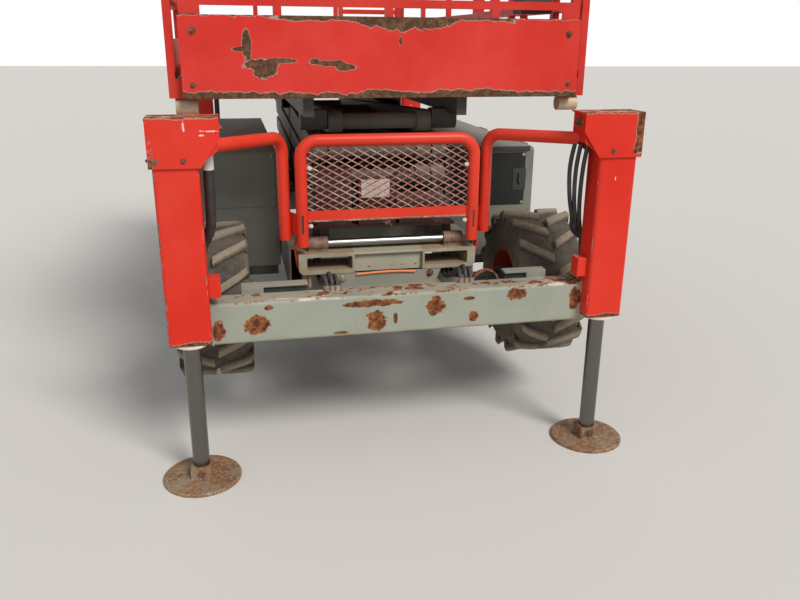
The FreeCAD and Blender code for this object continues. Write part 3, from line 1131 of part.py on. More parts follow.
def platform_frame():
    """The main deck: side beams, cross beams, the floor sheet, runners with slide channels and pivot ears."""
    floor_low = DECK_TOP - DECK_PLATE
    inside = DECK_HALF - DECK_SIDE_WIDTH
    pieces = [box(-inside, inside, -DECK_FRONT, DECK_REAR, floor_low, DECK_TOP)]
    for _, side in SIDES:
        pieces.append(box(side * inside, side * DECK_HALF, -DECK_FRONT, DECK_REAR, DECK_FRAME_BOTTOM,
                          DECK_TOP + DECK_SIDE_RISE))
        runner_inner = ARM_OUTER_X + ARM_WIDTH + RUNNING_GAP
        runner_outer = runner_inner + SLIDE_ROLLER_WIDTH + 2 * CHANNEL_GAP + CHANNEL_WALL
        channel_top = ARM_TOP_HEIGHT + SLIDE_ROLLER_RADIUS + CHANNEL_GAP + CHANNEL_WALL
        pieces.append(box(side * runner_inner, side * runner_outer, RUNNER_INSET - DECK_FRONT,
                          DECK_REAR - RUNNER_INSET, channel_top, floor_low))
        start = ARM_END_Y - ARM_LENGTH * (math.cos(math.radians(STOWED_ANGLE))
                                          - math.cos(math.radians(ARM_RAISED_ANGLE))) - SLIDE_OVERRUN
        channel = slide_channel(start, ARM_END_Y + SLIDE_OVERRUN, ARM_TOP_HEIGHT)
        pieces.append(channel if side > 0 else mirror_x(channel))
        ear_inner = side * (ARM_INNER_X + ARM_WIDTH + RUNNING_GAP)
        ear_outer = side * runner_outer
        pieces.append(rod((ear_inner, -ARM_END_Y, ARM_TOP_HEIGHT), (ear_outer, -ARM_END_Y, ARM_TOP_HEIGHT),
                          DECK_EAR_RADIUS))
        pieces.append(box(ear_inner, ear_outer, -ARM_END_Y - DECK_EAR_RADIUS, DECK_EAR_RADIUS - ARM_END_Y,
                          ARM_TOP_HEIGHT, channel_top + DECK_EAR_RISE))
        pieces.append(rod((side * (ARM_INNER_X - END_PIN_REACH), -ARM_END_Y, ARM_TOP_HEIGHT),
                          (ear_inner, -ARM_END_Y, ARM_TOP_HEIGHT), ARM_PIN_RADIUS))
        far, near, short = SLIDE_STRIP
        pieces.append(box(side * (EXT_FLOOR_HALF - far), side * (EXT_FLOOR_HALF - near), -DECK_FRONT,
                          EXT_LENGTH - short - DECK_FRONT, DECK_TOP, DECK_TOP + EXT_FLOOR_GAP - SEAT_GAP))
    half = DECK_CROSS_WIDTH / 2
    for station in DECK_CROSS_STATIONS + (half - DECK_FRONT, DECK_REAR - half):
        pieces.append(box(-inside, inside, station - half, station + half, DECK_FRAME_BOTTOM, floor_low))
    return fuse(pieces)


def deck_rollers():
    """The pale guide rollers under the front corners of the main deck."""
    rollers = []
    for _, side in SIDES:
        x0 = side * (DECK_HALF - ROLLER_INSET)
        x1 = side * (DECK_HALF - ROLLER_INSET - ROLLER_WIDTH)
        y = -DECK_FRONT + ROLLER_RADIUS
        z = DECK_FRAME_BOTTOM - ROLLER_RADIUS
        bracket = box(x0, x1, y - ROLLER_BRACKET_HALF, y + ROLLER_BRACKET_HALF, z, DECK_FRAME_BOTTOM)
        rollers.append(fuse([rod((x0, y, z), (x1, y, z), ROLLER_RADIUS), bracket]))
    return Part.makeCompound(rollers)


def rail_run(start, end, posts, base, levels):
    """A guard rail between two corners: posts at the given stations and bars at the given heights."""
    along_y = abs(end[1] - start[1]) > abs(end[0] - start[0])
    pieces = []
    top = levels[-1]
    for station in posts:
        x, y = (start[0], station) if along_y else (station, start[1])
        pieces.append(square_bar((x, y, base), (x, y, top)))
    for level in levels:
        pieces.append(square_bar((start[0], start[1], level), (end[0], end[1], level)))
    return pieces


def platform_rails():
    """The fixed rails round the sides and the back of the main deck, with the toe boards."""
    base = DECK_TOP + DECK_SIDE_RISE
    levels = [DECK_TOP + LOW_RAIL, DECK_TOP + MID_RAIL, DECK_TOP + RAIL_HEIGHT]
    x = DECK_HALF - TUBE / 2
    pieces = []
    for _, side in SIDES:
        pieces += rail_run((side * x, SIDE_POSTS[0]), (side * x, SIDE_POSTS[-1]), SIDE_POSTS, base, levels)
        toe_x = x - TUBE / 2 + TOE_INSET
        pieces.append(box(side * toe_x, side * (toe_x + TOE_PLATE), SIDE_POSTS[0], SIDE_POSTS[-1], base,
                          base + TOE_HEIGHT))
    y = SIDE_POSTS[-1]
    left_posts = (REAR_POST_X, GATE_LEFT - TUBE / 2)
    pieces += rail_run((-x, y), (GATE_LEFT - TUBE / 2, y), left_posts, DECK_TOP, levels)
    pieces += rail_run((GATE_RIGHT + TUBE / 2, y), (x, y), (GATE_RIGHT + TUBE / 2,), DECK_TOP, levels)
    pieces.append(box(DECK_SIDE_WIDTH - DECK_HALF, GATE_LEFT - TUBE, y - TOE_PLATE / 2, y + TOE_PLATE / 2,
                      DECK_TOP, DECK_TOP + TOE_HEIGHT))
    return fuse(pieces + gate_hinge(False))


def gate_hinge(on_gate):
    """The halves of the gate's two hinges: bored lugs on the rail post, pins and barrels on the gate."""
    y = SIDE_POSTS[-1] - TUBE / 2 - HINGE_SETBACK
    x = GATE_RIGHT - GATE_GAP / 2
    pieces = []
    weld_y = y + HINGE_SETBACK + HINGE_WELD
    for z in (DECK_TOP + height for height in GATE_HINGE_HEIGHTS):
        if on_gate:
            low = z + HINGE_LUG + SEAT_GAP
            pieces.append(rod((x, y, low), (x, y, low + HINGE_LUG), HINGE_RADIUS))
            pieces.append(rod((x, y, z), (x, y, low), HINGE_PIN))
            pieces.append(box(x - HINGE_LEAF, x, y - HINGE_PIN, weld_y, low, low + HINGE_LUG))
        else:
            lug = fuse([rod((x, y, z), (x, y, z + HINGE_LUG), HINGE_RADIUS),
                        box(x, x + HINGE_LEAF, y - HINGE_PIN, weld_y, z, z + HINGE_LUG)])
            pieces.append(lug.cut(rod((x, y, z), (x, y, z + HINGE_LUG), HINGE_PIN + PIN_GAP)))
    return pieces


def entry_gate():
    """The swinging gate in the back rail, with its hinge bar on the right."""
    y = SIDE_POSTS[-1]
    left = GATE_LEFT + GATE_GAP + TUBE / 2
    right = GATE_RIGHT - GATE_GAP - TUBE / 2
    low = DECK_TOP + TOE_HEIGHT / 2
    levels = [low, DECK_TOP + LOW_RAIL + TOE_HEIGHT / 2, DECK_TOP + MID_RAIL, DECK_TOP + RAIL_HEIGHT]
    pieces = [square_bar((x, y, low), (x, y, levels[-1])) for x in (left, right)]
    pieces += [square_bar((left, y, level), (right, y, level)) for level in levels]
    return fuse(pieces + gate_hinge(True))


def platform_ladder():
    """The entry ladder hung from the back of the platform."""
    stile_w, stile_d = LADDER_STILE
    x0, x1 = LADDER_X
    pieces = [box(x, x + stile_w, LADDER_Y, LADDER_Y + stile_d, LADDER_BOTTOM, DECK_TOP)
              for x in (x0, x1 - stile_w)]
    step = (DECK_FRAME_BOTTOM - LADDER_BOTTOM) / LADDER_RUNGS
    for index in range(LADDER_RUNGS):
        z = LADDER_BOTTOM + RUNG_RISE + index * step
        y = LADDER_Y + stile_d / 2
        pieces.append(rod((x0 + stile_w, y, z), (x1 - stile_w, y, z), RUNG_RADIUS))
    for x in (x0, x1 - stile_w):
        pieces.append(box(x, x + stile_w, DECK_REAR, LADDER_Y, DECK_FRAME_BOTTOM + LADDER_LUG_INSETS[0],
                          DECK_TOP - LADDER_LUG_INSETS[1]))
    return fuse(pieces)


def extension_deck():
    """The sliding floor with its side runners and the tall end panel."""
    floor_low = DECK_TOP + EXT_FLOOR_GAP
    floor_top = floor_low + EXT_FLOOR_THICK
    front = -FORK_FRONT
    back = front + EXT_LENGTH
    pieces = [box(-EXT_FLOOR_HALF, EXT_FLOOR_HALF, front, back, floor_low, floor_top)]
    pieces.append(box(-EXT_HALF, EXT_HALF, front - EXT_PANEL_THICK, front, DECK_FRAME_BOTTOM, EXT_PANEL_TOP))
    for _, side in SIDES:
        pieces.append(box(side * (EXT_HALF - EXT_PANEL_THICK), side * EXT_HALF, front,
                          front + EXT_PANEL_RETURN, DECK_FRAME_BOTTOM, EXT_PANEL_TOP))
        pieces.append(box(side * (EXT_FLOOR_HALF - EXT_RUNNER[0]), side * EXT_FLOOR_HALF, front, back,
                          floor_top, floor_top + EXT_RUNNER[1]))
    return fuse(pieces)


def extension_rails():
    """The rails of the extension, nested inside the main rails, with flat corner plates at the front."""
    floor = DECK_TOP + EXT_FLOOR_GAP + EXT_FLOOR_THICK
    deck = floor + EXT_RUNNER[1]
    levels = [DECK_TOP + LOW_RAIL, DECK_TOP + MID_RAIL, DECK_TOP + RAIL_HEIGHT]
    x = EXT_HALF - EXT_PANEL_THICK - TUBE / 2
    y = -FORK_FRONT + TUBE / 2
    pieces = []
    for _, side in SIDES:
        pieces += rail_run((side * x, y), (side * x, EXT_SIDE_POSTS[-1]), (y,) + EXT_SIDE_POSTS, deck, levels)
        plate_x = side * (x - TUBE / 2)
        plate_y = y - TUBE / 2
        pieces.append(box(plate_x, plate_x - side * CORNER_PLATE[0], plate_y, plate_y + CORNER_PLATE[1], deck,
                          levels[0]))
    pieces += rail_run((-x, y), (x, y), EXT_FRONT_POSTS, floor, levels)
    return fuse(pieces)


def control_box():
    """The upper control station hung inside the extension's front rail."""
    width, depth, height = CONTROL_BOX
    y = -FORK_FRONT + TUBE
    body = box(CONTROL_BOX_X - width / 2, CONTROL_BOX_X + width / 2, y, y + depth, CONTROL_BOX_HEIGHT,
               CONTROL_BOX_HEIGHT + height)
    slope = [edge for edge in body.Edges if abs(edge.tangentAt(edge.FirstParameter).x) > 0.9
             and edge.BoundBox.YMin > y + depth - 1 and edge.BoundBox.ZMin > CONTROL_BOX_HEIGHT + height - 1]
    body = body.makeChamfer(CONTROL_BOX_SLOPE, slope)
    radius, length, offset = CONTROL_STICK
    stick_y = y + (depth - CONTROL_BOX_SLOPE) / 2
    stick = rod((CONTROL_BOX_X - offset, stick_y, CONTROL_BOX_HEIGHT + height),
                (CONTROL_BOX_X - offset, stick_y, CONTROL_BOX_HEIGHT + height + length), radius)
    return fuse([body, stick])


for corner, side, end in CORNERS:
    save("outrigger_leg_" + corner, outrigger_leg(side, end))
    save("outrigger_rod_" + corner, outrigger_rod(side, end))
    save("outrigger_pad_" + corner, outrigger_pad(side, end))

save("front_beam", cross_beam(-1))
save("rear_beam", cross_beam(1))
save("chassis_frame", chassis_frame())
save("scissor_tracks", scissor_tracks())
save("fork_pocket_frame", fork_frame())
save("cross_rod", cross_rod())
save("front_guard", front_guard())
save("guard_mesh", guard_mesh())
save("hydraulic_block", hydraulic_block())
save("axle_front", axle(-1))
save("axle_rear", axle(1))
save("steering_rod", steering_rod())

for name, side in SIDES:
    save("cabinet_" + name, cabinet(side))
    save("cabinet_door_" + name, cabinet_door(side))
    save("steering_knuckle_" + name, steering_knuckle(side))
save("engine_block", heavy_block(1))
save("tank_block", heavy_block(-1))

tyre_shape = tyre()
rim_shape = rim()
for corner, side, end in CORNERS:
    save("tyre_" + corner, at_wheel(tyre_shape, side, end))
    save("rim_" + corner, at_wheel(rim_shape, side, end))

for level in range(1, ARM_LEVELS + 1):
    save("outer_arms_" + str(level), outer_frame(level))
    save("inner_arms_" + str(level), inner_frame(level))
save("lift_cylinder_barrel", lift_barrel())
save("lift_cylinder_rod", lift_rod())

save("platform_frame", platform_frame())
save("deck_rollers", deck_rollers())
save("platform_rails", platform_rails())
save("entry_gate", entry_gate())
save("platform_ladder", platform_ladder())
save("extension_deck", extension_deck())
save("extension_rails", extension_rails())
save("control_box", control_box())
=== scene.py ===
"""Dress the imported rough-terrain scissor lift in worn paint, tread, mesh, hoses and small fittings.

X runs across the machine, Y along it and Z up, in metres. The steering end faces -Y.
"""
import logging
import math
from dataclasses import dataclass, field
from enum import Enum
from typing import Callable, Dict, List, Optional, Sequence, Tuple, Union

import bmesh
import bpy
from mathutils import Matrix, Vector
from mathutils.bvhtree import BVHTree


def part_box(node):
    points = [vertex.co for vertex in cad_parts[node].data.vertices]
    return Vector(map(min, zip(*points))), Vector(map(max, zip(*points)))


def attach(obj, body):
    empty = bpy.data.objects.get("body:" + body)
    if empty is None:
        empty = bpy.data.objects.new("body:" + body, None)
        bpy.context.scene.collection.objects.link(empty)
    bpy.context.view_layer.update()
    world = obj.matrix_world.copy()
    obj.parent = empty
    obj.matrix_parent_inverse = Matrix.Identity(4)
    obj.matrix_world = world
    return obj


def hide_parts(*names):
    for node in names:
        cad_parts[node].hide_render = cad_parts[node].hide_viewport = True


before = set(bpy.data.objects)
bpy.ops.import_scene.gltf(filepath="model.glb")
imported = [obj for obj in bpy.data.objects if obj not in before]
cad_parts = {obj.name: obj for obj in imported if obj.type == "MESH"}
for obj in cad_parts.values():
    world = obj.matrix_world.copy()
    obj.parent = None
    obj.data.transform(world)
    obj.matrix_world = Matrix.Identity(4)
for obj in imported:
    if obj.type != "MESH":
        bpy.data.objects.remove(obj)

logging.basicConfig(level=logging.INFO, format="%(message)s")
LOG = logging.getLogger("scissor_lift")

Colour = Tuple[float, float, float]
Point = Tuple[float, float, float]
Socket = bpy.types.NodeSocket
Number = Union[float, "Value", Socket]
Layer = Tuple[Socket, "Value"]
Lines = Sequence[Sequence[Point]]

NODES: Dict[str, bpy.types.Object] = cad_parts
CORNERS = (("front_left", -1, -1), ("front_right", 1, -1), ("rear_left", -1, 1), ("rear_right", 1, 1))
SIDES = (("left", -1), ("right", 1))
SKINS: Dict[str, BVHTree] = {}
FULL_TURN = 2.0 * math.pi
SMOOTH_BELOW = math.radians(35.0)
LARGEST_SPIN = 6.2832
TREAD_TURNS = FULL_TURN / 0.045
TREAD_STEEL: Colour = (0.300, 0.300, 0.285)


def touch(node: str, start: Point, towards: Point) -> Vector:
    """Find where a straight line first meets a CAD node.

    Args:
        node: The node's name.
        start: A point outside it.
        towards: The line's direction.

    Returns:
        The point on its surface, or the start where the line misses it.
    """
    if node not in SKINS:
        mesh = NODES[node].data
        faces = [face.vertices for face in mesh.polygons]
        SKINS[node] = BVHTree.FromPolygons([vert.co for vert in mesh.vertices], faces)
    found = SKINS[node].ray_cast(Vector(start), Vector(towards))[0]
    return Vector(start) if found is None else found


class Nodes:
    """A node tree that is filled through one method."""

    def __init__(self, tree: bpy.types.NodeTree) -> None:
        """Start with the tree emptied."""
        self.tree = tree
        self.tree.nodes.clear()

    def add(self, kind: str, sockets: Optional[dict] = None, **settings: object) -> bpy.types.bpy_prop_collection:
        """Add a node, set it up and fill its sockets.

        Args:
            kind: The node's type.
            sockets: Values, or links, by socket name or number. A list links each of its items.
            settings: The node's properties, set before the sockets are filled.

        Returns:
            The new node's outputs.
        """
        node = self.tree.nodes.new(kind)
        for key, value in settings.items():
            setattr(node, key, value)
        for key, value in (sockets or {}).items():
            for source in value if isinstance(value, list) else [value]:
                source = source.socket if isinstance(source, Value) else source
                if isinstance(source, Socket):
                    self.tree.links.new(source, node.inputs[key])
                else:
                    node.inputs[key].default_value = source
        return node.outputs

    def value(self, kind: str, sockets: Optional[dict] = None, output: Union[int, str] = 0,
              **settings: object) -> "Value":
        """Add a node as add does and wrap one of its outputs."""
        return Value(self, self.add(kind, sockets, **settings)[output])


def operator(operation: str, flipped: bool = False) -> Callable[..., "Value"]:
    """Make a method of Value that adds one Math node.

    Args:
        operation: The node's operation.
        flipped: Whether the other number comes before self.

    Returns:
        The method.
    """
    def method(self: "Value", other: Number = 0.0) -> "Value":
        """Return the operation on self and the other number."""
        left, right = (other, self) if flipped else (self, other)
        return self.nodes.value("ShaderNodeMath", {0: left, 1: right}, operation=operation)

    return method


class Value:
    """A number that varies over a surface or from copy to copy. Its operators add Math nodes."""

    __add__, __radd__ = operator("ADD"), operator("ADD", True)
    __sub__, __rsub__ = operator("SUBTRACT"), operator("SUBTRACT", True)
    __mul__, __rmul__ = operator("MULTIPLY"), operator("MULTIPLY", True)
    __truediv__, __rtruediv__ = operator("DIVIDE"), operator("DIVIDE", True)
    __pow__, __abs__, wave = operator("POWER"), operator("ABSOLUTE"), operator("SINE")
    most, least = operator("MAXIMUM"), operator("MINIMUM")

    def __init__(self, nodes: Nodes, socket: Socket) -> None:
        """Wrap an output of a tree's node."""
        self.nodes = nodes
        self.socket = socket

    def rise(self, low: float, high: float) -> "Value":
        """Return a smooth step from 0 at low to 1 at high."""
        sockets = {"Value": self, "From Min": low, "From Max": high}
        return self.nodes.value("ShaderNodeMapRange", sockets, "Result", interpolation_type="SMOOTHSTEP")

    def fall(self, low: float, high: float) -> "Value":
        """Return a smooth step from 1 at low to 0 at high."""
        return 1.0 - self.rise(low, high)


class Surface(Nodes):
    """The nodes of one material, laid on Object coordinates."""

    def __init__(self, name: str) -> None:
        """Start an empty material of a name."""
        self.material = bpy.data.materials.new(name)
        self.material.use_nodes = True
        super().__init__(self.material.node_tree)
        self.coordinates = self.add("ShaderNodeTexCoord")

    def axis(self, name: str) -> Value:
        """Return the X, Y or Z place of the point."""
        return self.value("ShaderNodeSeparateXYZ", {0: self.coordinates["Object"]}, name)

    def facing(self, name: str) -> Value:
        """Return how much the surface faces along X, Y or Z."""
        return self.value("ShaderNodeSeparateXYZ", {0: self.coordinates["Normal"]}, name)

    def stretched(self, stretch: Point = (1, 1, 1)) -> Socket:
        """Return the place scaled along its axes."""
        return self.add("ShaderNodeMapping", {"Vector": self.coordinates["Object"], "Scale": stretch})[0]

    def noise(self, scale: float, detail: float = 3.0, rough: float = 0.55, stretch: Point = (1, 1, 1)) -> Value:
        """Return cloud noise from 0 to 1.

        Args:
            scale: Clouds in a metre.
            detail: Octaves.
            rough: Strength of the finer octaves.
            stretch: Scale along X, Y and Z.

        Returns:
            The noise value.
        """
        sockets = {"Vector": self.stretched(stretch), "Scale": scale, "Detail": detail, "Roughness": rough}
        return self.value("ShaderNodeTexNoise", sockets)

    def cells(self, scale: float) -> Value:
        """Return the distance in a cell pattern."""
        return self.value("ShaderNodeTexVoronoi", {"Vector": self.stretched(), "Scale": scale}, "Distance")

    def blend(self, factor: Number, first: Union[Colour, Socket], second: Union[Colour, Socket]) -> Socket:
        """Mix two colours.

        Args:
            factor: 0 for the first, 1 for the second.
            first: A colour or a colour socket.
            second: A colour or a colour socket.

        Returns:
            The mixed colour's socket.
        """
        sockets = {0: factor}
        for index, colour in ((6, first), (7, second)):
            sockets[index] = colour if isinstance(colour, Socket) else (*colour, 1.0)
        return self.add("ShaderNodeMix", sockets, data_type="RGBA")[2]

    def dress(self, plain: dict, height: Optional[Value] = None, strength: float = 1.0, distance: float = 0.001,
              **varying: Number) -> bpy.types.Material:
        """Close the tree with its shader.

        Args:
            plain: Numbers set on the shader's own sockets.
            height: How far the surface stands out, as a share of the distance, or None.
            strength: The strength of that height's bump.
            distance: Its distance in metres.
            varying: Links for colour, roughness and metallic.

        Returns:
            The finished material.
        """
        names = {"colour": "Base Color", "roughness": "Roughness", "metallic": "Metallic"}
        sockets = {**plain, **{names[key]: value for key, value in varying.items()}}
        if height is not None:
            sockets["Normal"] = self.add("ShaderNodeBump", {"Height": height, "Strength": strength,
                                                            "Distance": distance})[0]
        shader = self.add("ShaderNodeBsdfPrincipled", sockets)
        self.add("ShaderNodeOutputMaterial", {"Surface": shader[0]})
        return self.material


@dataclass(frozen=True)
class Patch:
    """A flake of paint lost from an upright face, by its centre and half sizes."""

    x: float
    z: float
    half_x: float
    half_z: float

    def mask(self, nodes: Surface, ragged: Value) -> Value:
        """Return 1 inside the ragged patch.

        Args:
            nodes: The surface it lies on.
            ragged: Noise from 0 to 1 that breaks its edge.

        Returns:
            The mask.
        """
        across = (nodes.axis("X") - self.x) / self.half_x
        upward = (nodes.axis("Z") - self.z) / self.half_z
        reach = (across * across + upward * upward) ** 0.5 + (ragged - 0.5) * 1.5
        return reach.fall(0.86, 1.04)


@dataclass(frozen=True)
class WornPaint:
    """Painted steel that has faded, gathered dust and flaked to rust.

    rust is the share of the whole face that has flaked, dust the strength of the film.
    """

    name: str
    colour: Colour
    faded: Colour
    rust: float = 0.05
    dust: float = 0.3
    roughness: float = 0.38
    patches: Tuple[Patch, ...] = ()
    primer: Colour = (0.55, 0.42, 0.35)
    rust_dark: Colour = (0.075, 0.024, 0.012)
    rust_light: Colour = (0.30, 0.105, 0.035)
    dust_colour: Colour = (0.36, 0.29, 0.21)
    shine: float = 0.22

    def lost(self, nodes: Surface, ragged: Value) -> Optional[Value]:
        """Return a mask of paint lost in known places, or None. Kinds of paint may add to it."""
        found: Optional[Value] = None
        for patch in self.patches:
            mask = patch.mask(nodes, ragged)
            found = mask if found is None else found.most(mask)
        return found

    def over(self, nodes: Surface, colour: Socket, height: Value) -> Layer:
        """Return the colour and height as they are. Kinds of paint may lay something over them."""
        return colour, height

    def tread(self, nodes: Surface, colour: Socket, height: Value, low: float, high: float) -> Layer:
        """Lay bare tread plate over the level faces between two heights.

        Args:
            nodes: The surface they lie on.
            colour: The colour below.
            height: The height below.
            low: The lower height.
            high: The upper height.

        Returns:
            The new colour and height.
        """
        level = nodes.facing("Z").rise(0.90, 0.97) * nodes.axis("Z").rise(low - 0.002, low + 0.002)
        level = level * nodes.axis("Z").fall(high - 0.002, high + 0.002)
        along = ((nodes.axis("X") + nodes.axis("Y")) * TREAD_TURNS * 0.5).wave()
        across = ((nodes.axis("X") - nodes.axis("Y")) * TREAD_TURNS * 1.5).wave()
        bars = (along * across).rise(0.45, 0.75)
        plate = nodes.blend(nodes.noise(4.0, 5.0, 0.65).rise(0.3, 0.7), TREAD_STEEL, self.dust_colour)
        return nodes.blend(level, colour, plate), height + level * bars * 0.9

    def build(self) -> bpy.types.Material:
        """Build the material."""
        nodes = Surface(self.name)
        ragged = nodes.noise(22.0, 6.0, 0.66)
        flakes = nodes.noise(3.1, 9.0, 0.70)
        limit = 0.74 - self.rust
        bare = flakes.rise(limit, limit + 0.012)
        rim = flakes.rise(limit - 0.012, limit - 0.002)
        known = self.lost(nodes, ragged)
        if known is not None:
            bare = bare.most(known)
            rim = rim.most((known * 3.0).least(1.0))
        clouds = nodes.noise(1.7, 4.0, 0.6)
        streaks = nodes.noise(5.0, 3.0, 0.6, (1.0, 1.0, 0.13))
        film = ((nodes.facing("Z").rise(0.35, 0.95) * 0.75 + streaks.rise(0.42, 0.85) * 0.55)
                * self.dust * clouds.rise(0.2, 0.75)).least(0.9)
        paint = nodes.blend(clouds.rise(0.30, 0.72), self.colour, self.faded)
        paint = nodes.blend(film, paint, self.dust_colour)
        paint = nodes.blend(rim, paint, self.primer)
        metal = nodes.blend(nodes.noise(38.0, 5.0, 0.7).rise(0.38, 0.66), self.rust_dark, self.rust_light)
        colour = nodes.blend(bare, paint, metal)
        rough = (self.roughness + film * 0.4 + streaks * 0.08).most(bare * 0.86)
        height = (1.0 - bare) * 0.55 + bare * nodes.noise(85.0, 4.0, 0.7) * 0.5 + nodes.noise(9.0, 2.0) * 0.25
        colour, height = self.over(nodes, colour, height)
        return nodes.dress({"Specular IOR Level": self.shine}, height, 0.45, 0.003, colour=colour, roughness=rough)


@dataclass(frozen=True)
class PanelPaint(WornPaint):
    """The end panel's paint, peeled along its top and bottom edges."""

    top: float = 2.262
    bottom: float = 1.868
    peel_from: float = -0.60
    peel_to: float = 0.68
    deepest: float = 0.08
    behind: float = -1.846
    floor: Tuple[float, float] = (1.976, 1.994)

    def lost(self, nodes: Surface, ragged: Value) -> Optional[Value]:
        """Return the patches with the peeled edges added."""
        height = nodes.axis("Z")
        across = nodes.axis("X")
        uneven = nodes.noise(7.0, 5.0, 0.7, (1.0, 1.0, 0.4))
        wavy = across + (ragged - 0.5) * 0.12
        span = wavy.rise(self.peel_from, self.peel_from + 0.05) * wavy.fall(self.peel_to - 0.05, self.peel_to)
        deeper = abs(across - self.deepest).fall(0.08, 0.34) * uneven * 0.095
        peel = (height + uneven * 0.080 + deeper - 0.030).rise(self.top - 0.010, self.top - 0.004) * span
        chips = (height + ragged * 0.05 - 0.028).rise(self.top - 0.010, self.top - 0.004)
        foot = (height - uneven * 0.100 + 0.026).fall(self.bottom + 0.004, self.bottom + 0.012)
        face = nodes.axis("Y").fall(self.behind - 0.002, self.behind)
        return peel.most(chips).most(foot).most(super().lost(nodes, ragged)) * face

    def over(self, nodes: Surface, colour: Socket, height: Value) -> Layer:
        """Lay the sliding floor's tread plate."""
        return self.tread(nodes, colour, height, *self.floor)


@dataclass(frozen=True)
class LegPaint(WornPaint):
    """The legs' paint, scraped on the hood's outer strip, along its lid and at the foot."""

    hood_top: float = 1.827
    foot: float = 0.761
    scraped_x: float = 1.140
    scraped_from: float = 1.62
    edge_x: float = 1.163
    inner_x: float = 0.972
    half_depth: float = 0.068
    middle_y: float = 2.275
    scrapes: Tuple[Patch, ...] = (Patch(-1.020, 1.790, 0.004, 0.021), Patch(-0.912, 1.768, 0.034, 0.0035),
                                  Patch(-0.948, 1.750, 0.011, 0.004), Patch(1.060, 1.500, 0.003, 0.009))
    pale: Colour = (0.66, 0.56, 0.50)

    def lost(self, nodes: Surface, ragged: Value) -> Optional[Value]:
        """Return the scraped places of the hood and the foot."""
        height = nodes.axis("Z")
        across = abs(nodes.axis("X"))
        uneven = nodes.noise(11.0, 5.0, 0.7)
        lid = (height + uneven * 0.045 - 0.024).rise(self.hood_top - 0.010, self.hood_top - 0.003)
        strip = (across + (uneven - 0.5) * 0.05).rise(self.scraped_x, self.scraped_x + 0.006)
        strip = strip * (height + (ragged - 0.5) * 0.1).rise(self.scraped_from, self.scraped_from + 0.02)
        strip = strip * ragged.rise(0.22, 0.36) * nodes.axis("X").rise(0.0, 0.01)
        foot = (height - uneven * 0.05 + 0.018).fall(self.foot + 0.004, self.foot + 0.010)
        corner = abs(abs(nodes.axis("Y")) - self.middle_y).rise(self.half_depth - 0.004, self.half_depth)
        outer = (across + (ragged - 0.5) * 0.022).rise(self.edge_x - 0.003, self.edge_x)
        inner = (across - (ragged - 0.5) * 0.018).fall(self.inner_x - 0.003, self.inner_x)
        inner = inner * height.fall(self.scraped_from - 0.04, self.scraped_from - 0.02)
        chipped = corner * outer.most(inner) * nodes.noise(13.0, 4.0, 0.6).rise(0.515, 0.545)
        return (lid * uneven.rise(0.44, 0.50)).most(strip).most(foot).most(chipped)

    def over(self, nodes: Surface, colour: Socket, height: Value) -> Layer:
        """Lay pale scrapes over the hood."""
        ragged = (nodes.noise(95.0, 4.0, 0.7) - 0.5) * 2.8 + 0.5
        for scrape in self.scrapes:
            colour = nodes.blend(scrape.mask(nodes, ragged), colour, self.pale)
        return colour, height


@dataclass(frozen=True)
class BeamPaint(WornPaint):
    """The cross beams' paint, worn through on the top face."""

    top: float = 0.933
    foot: float = 0.722
    drip: Colour = (0.330, 0.215, 0.090)
    pale: Colour = (0.660, 0.610, 0.500)

    def lost(self, nodes: Surface, ragged: Value) -> Optional[Value]:
        """Return the patches with the scuffed top face added."""
        upper = nodes.axis("Z").rise(self.top - 0.014, self.top - 0.004)
        scuffed = upper * (nodes.noise(6.0, 6.0, 0.7, (0.5, 1.0, 1.0)) * 0.6 + ragged * 0.4).rise(0.50, 0.545)
        known = super().lost(nodes, ragged)
        return scuffed if known is None else scuffed.most(known)

    def over(self, nodes: Surface, colour: Socket, height: Value) -> Layer:
        """Lay rust drips down the face and pale scrapes along the top."""
        drips = nodes.noise(13.0, 4.0, 0.6, (1.0, 1.0, 0.16)).rise(0.56, 0.74) * nodes.noise(3.0).rise(0.40, 0.60)
        foot = nodes.axis("Z").fall(self.foot, self.foot + 0.045)
        stained = (drips * 0.55 + foot * nodes.noise(9.0, 4.0, 0.7).rise(0.42, 0.66) * 0.5).least(0.7)
        colour = nodes.blend(stained, colour, self.drip)
        upper = nodes.axis("Z").rise(self.top - 0.012, self.top - 0.003)
        scraped = upper * nodes.noise(9.0, 5.0, 0.75, (0.45, 1.4, 1.0)).rise(0.60, 0.64) * 0.8
        return nodes.blend(scraped, colour, self.pale), height


@dataclass(frozen=True)
class GuardPaint(WornPaint):
    """The guard's paint, rubbed through along the cross bar's lower edge."""

    edge: float = 1.233
    half_span: float = 0.436

    def lost(self, nodes: Surface, ragged: Value) -> Optional[Value]:
        """Return the rubbed edge of the cross bar."""
        height = nodes.axis("Z") + (ragged - 0.5) * 0.010
        band = height.rise(1.200, 1.210) * height.fall(self.edge - 0.002, self.edge + 0.002)
        inside = abs(nodes.axis("X")).fall(self.half_span - 0.004, self.half_span)
        return band * inside


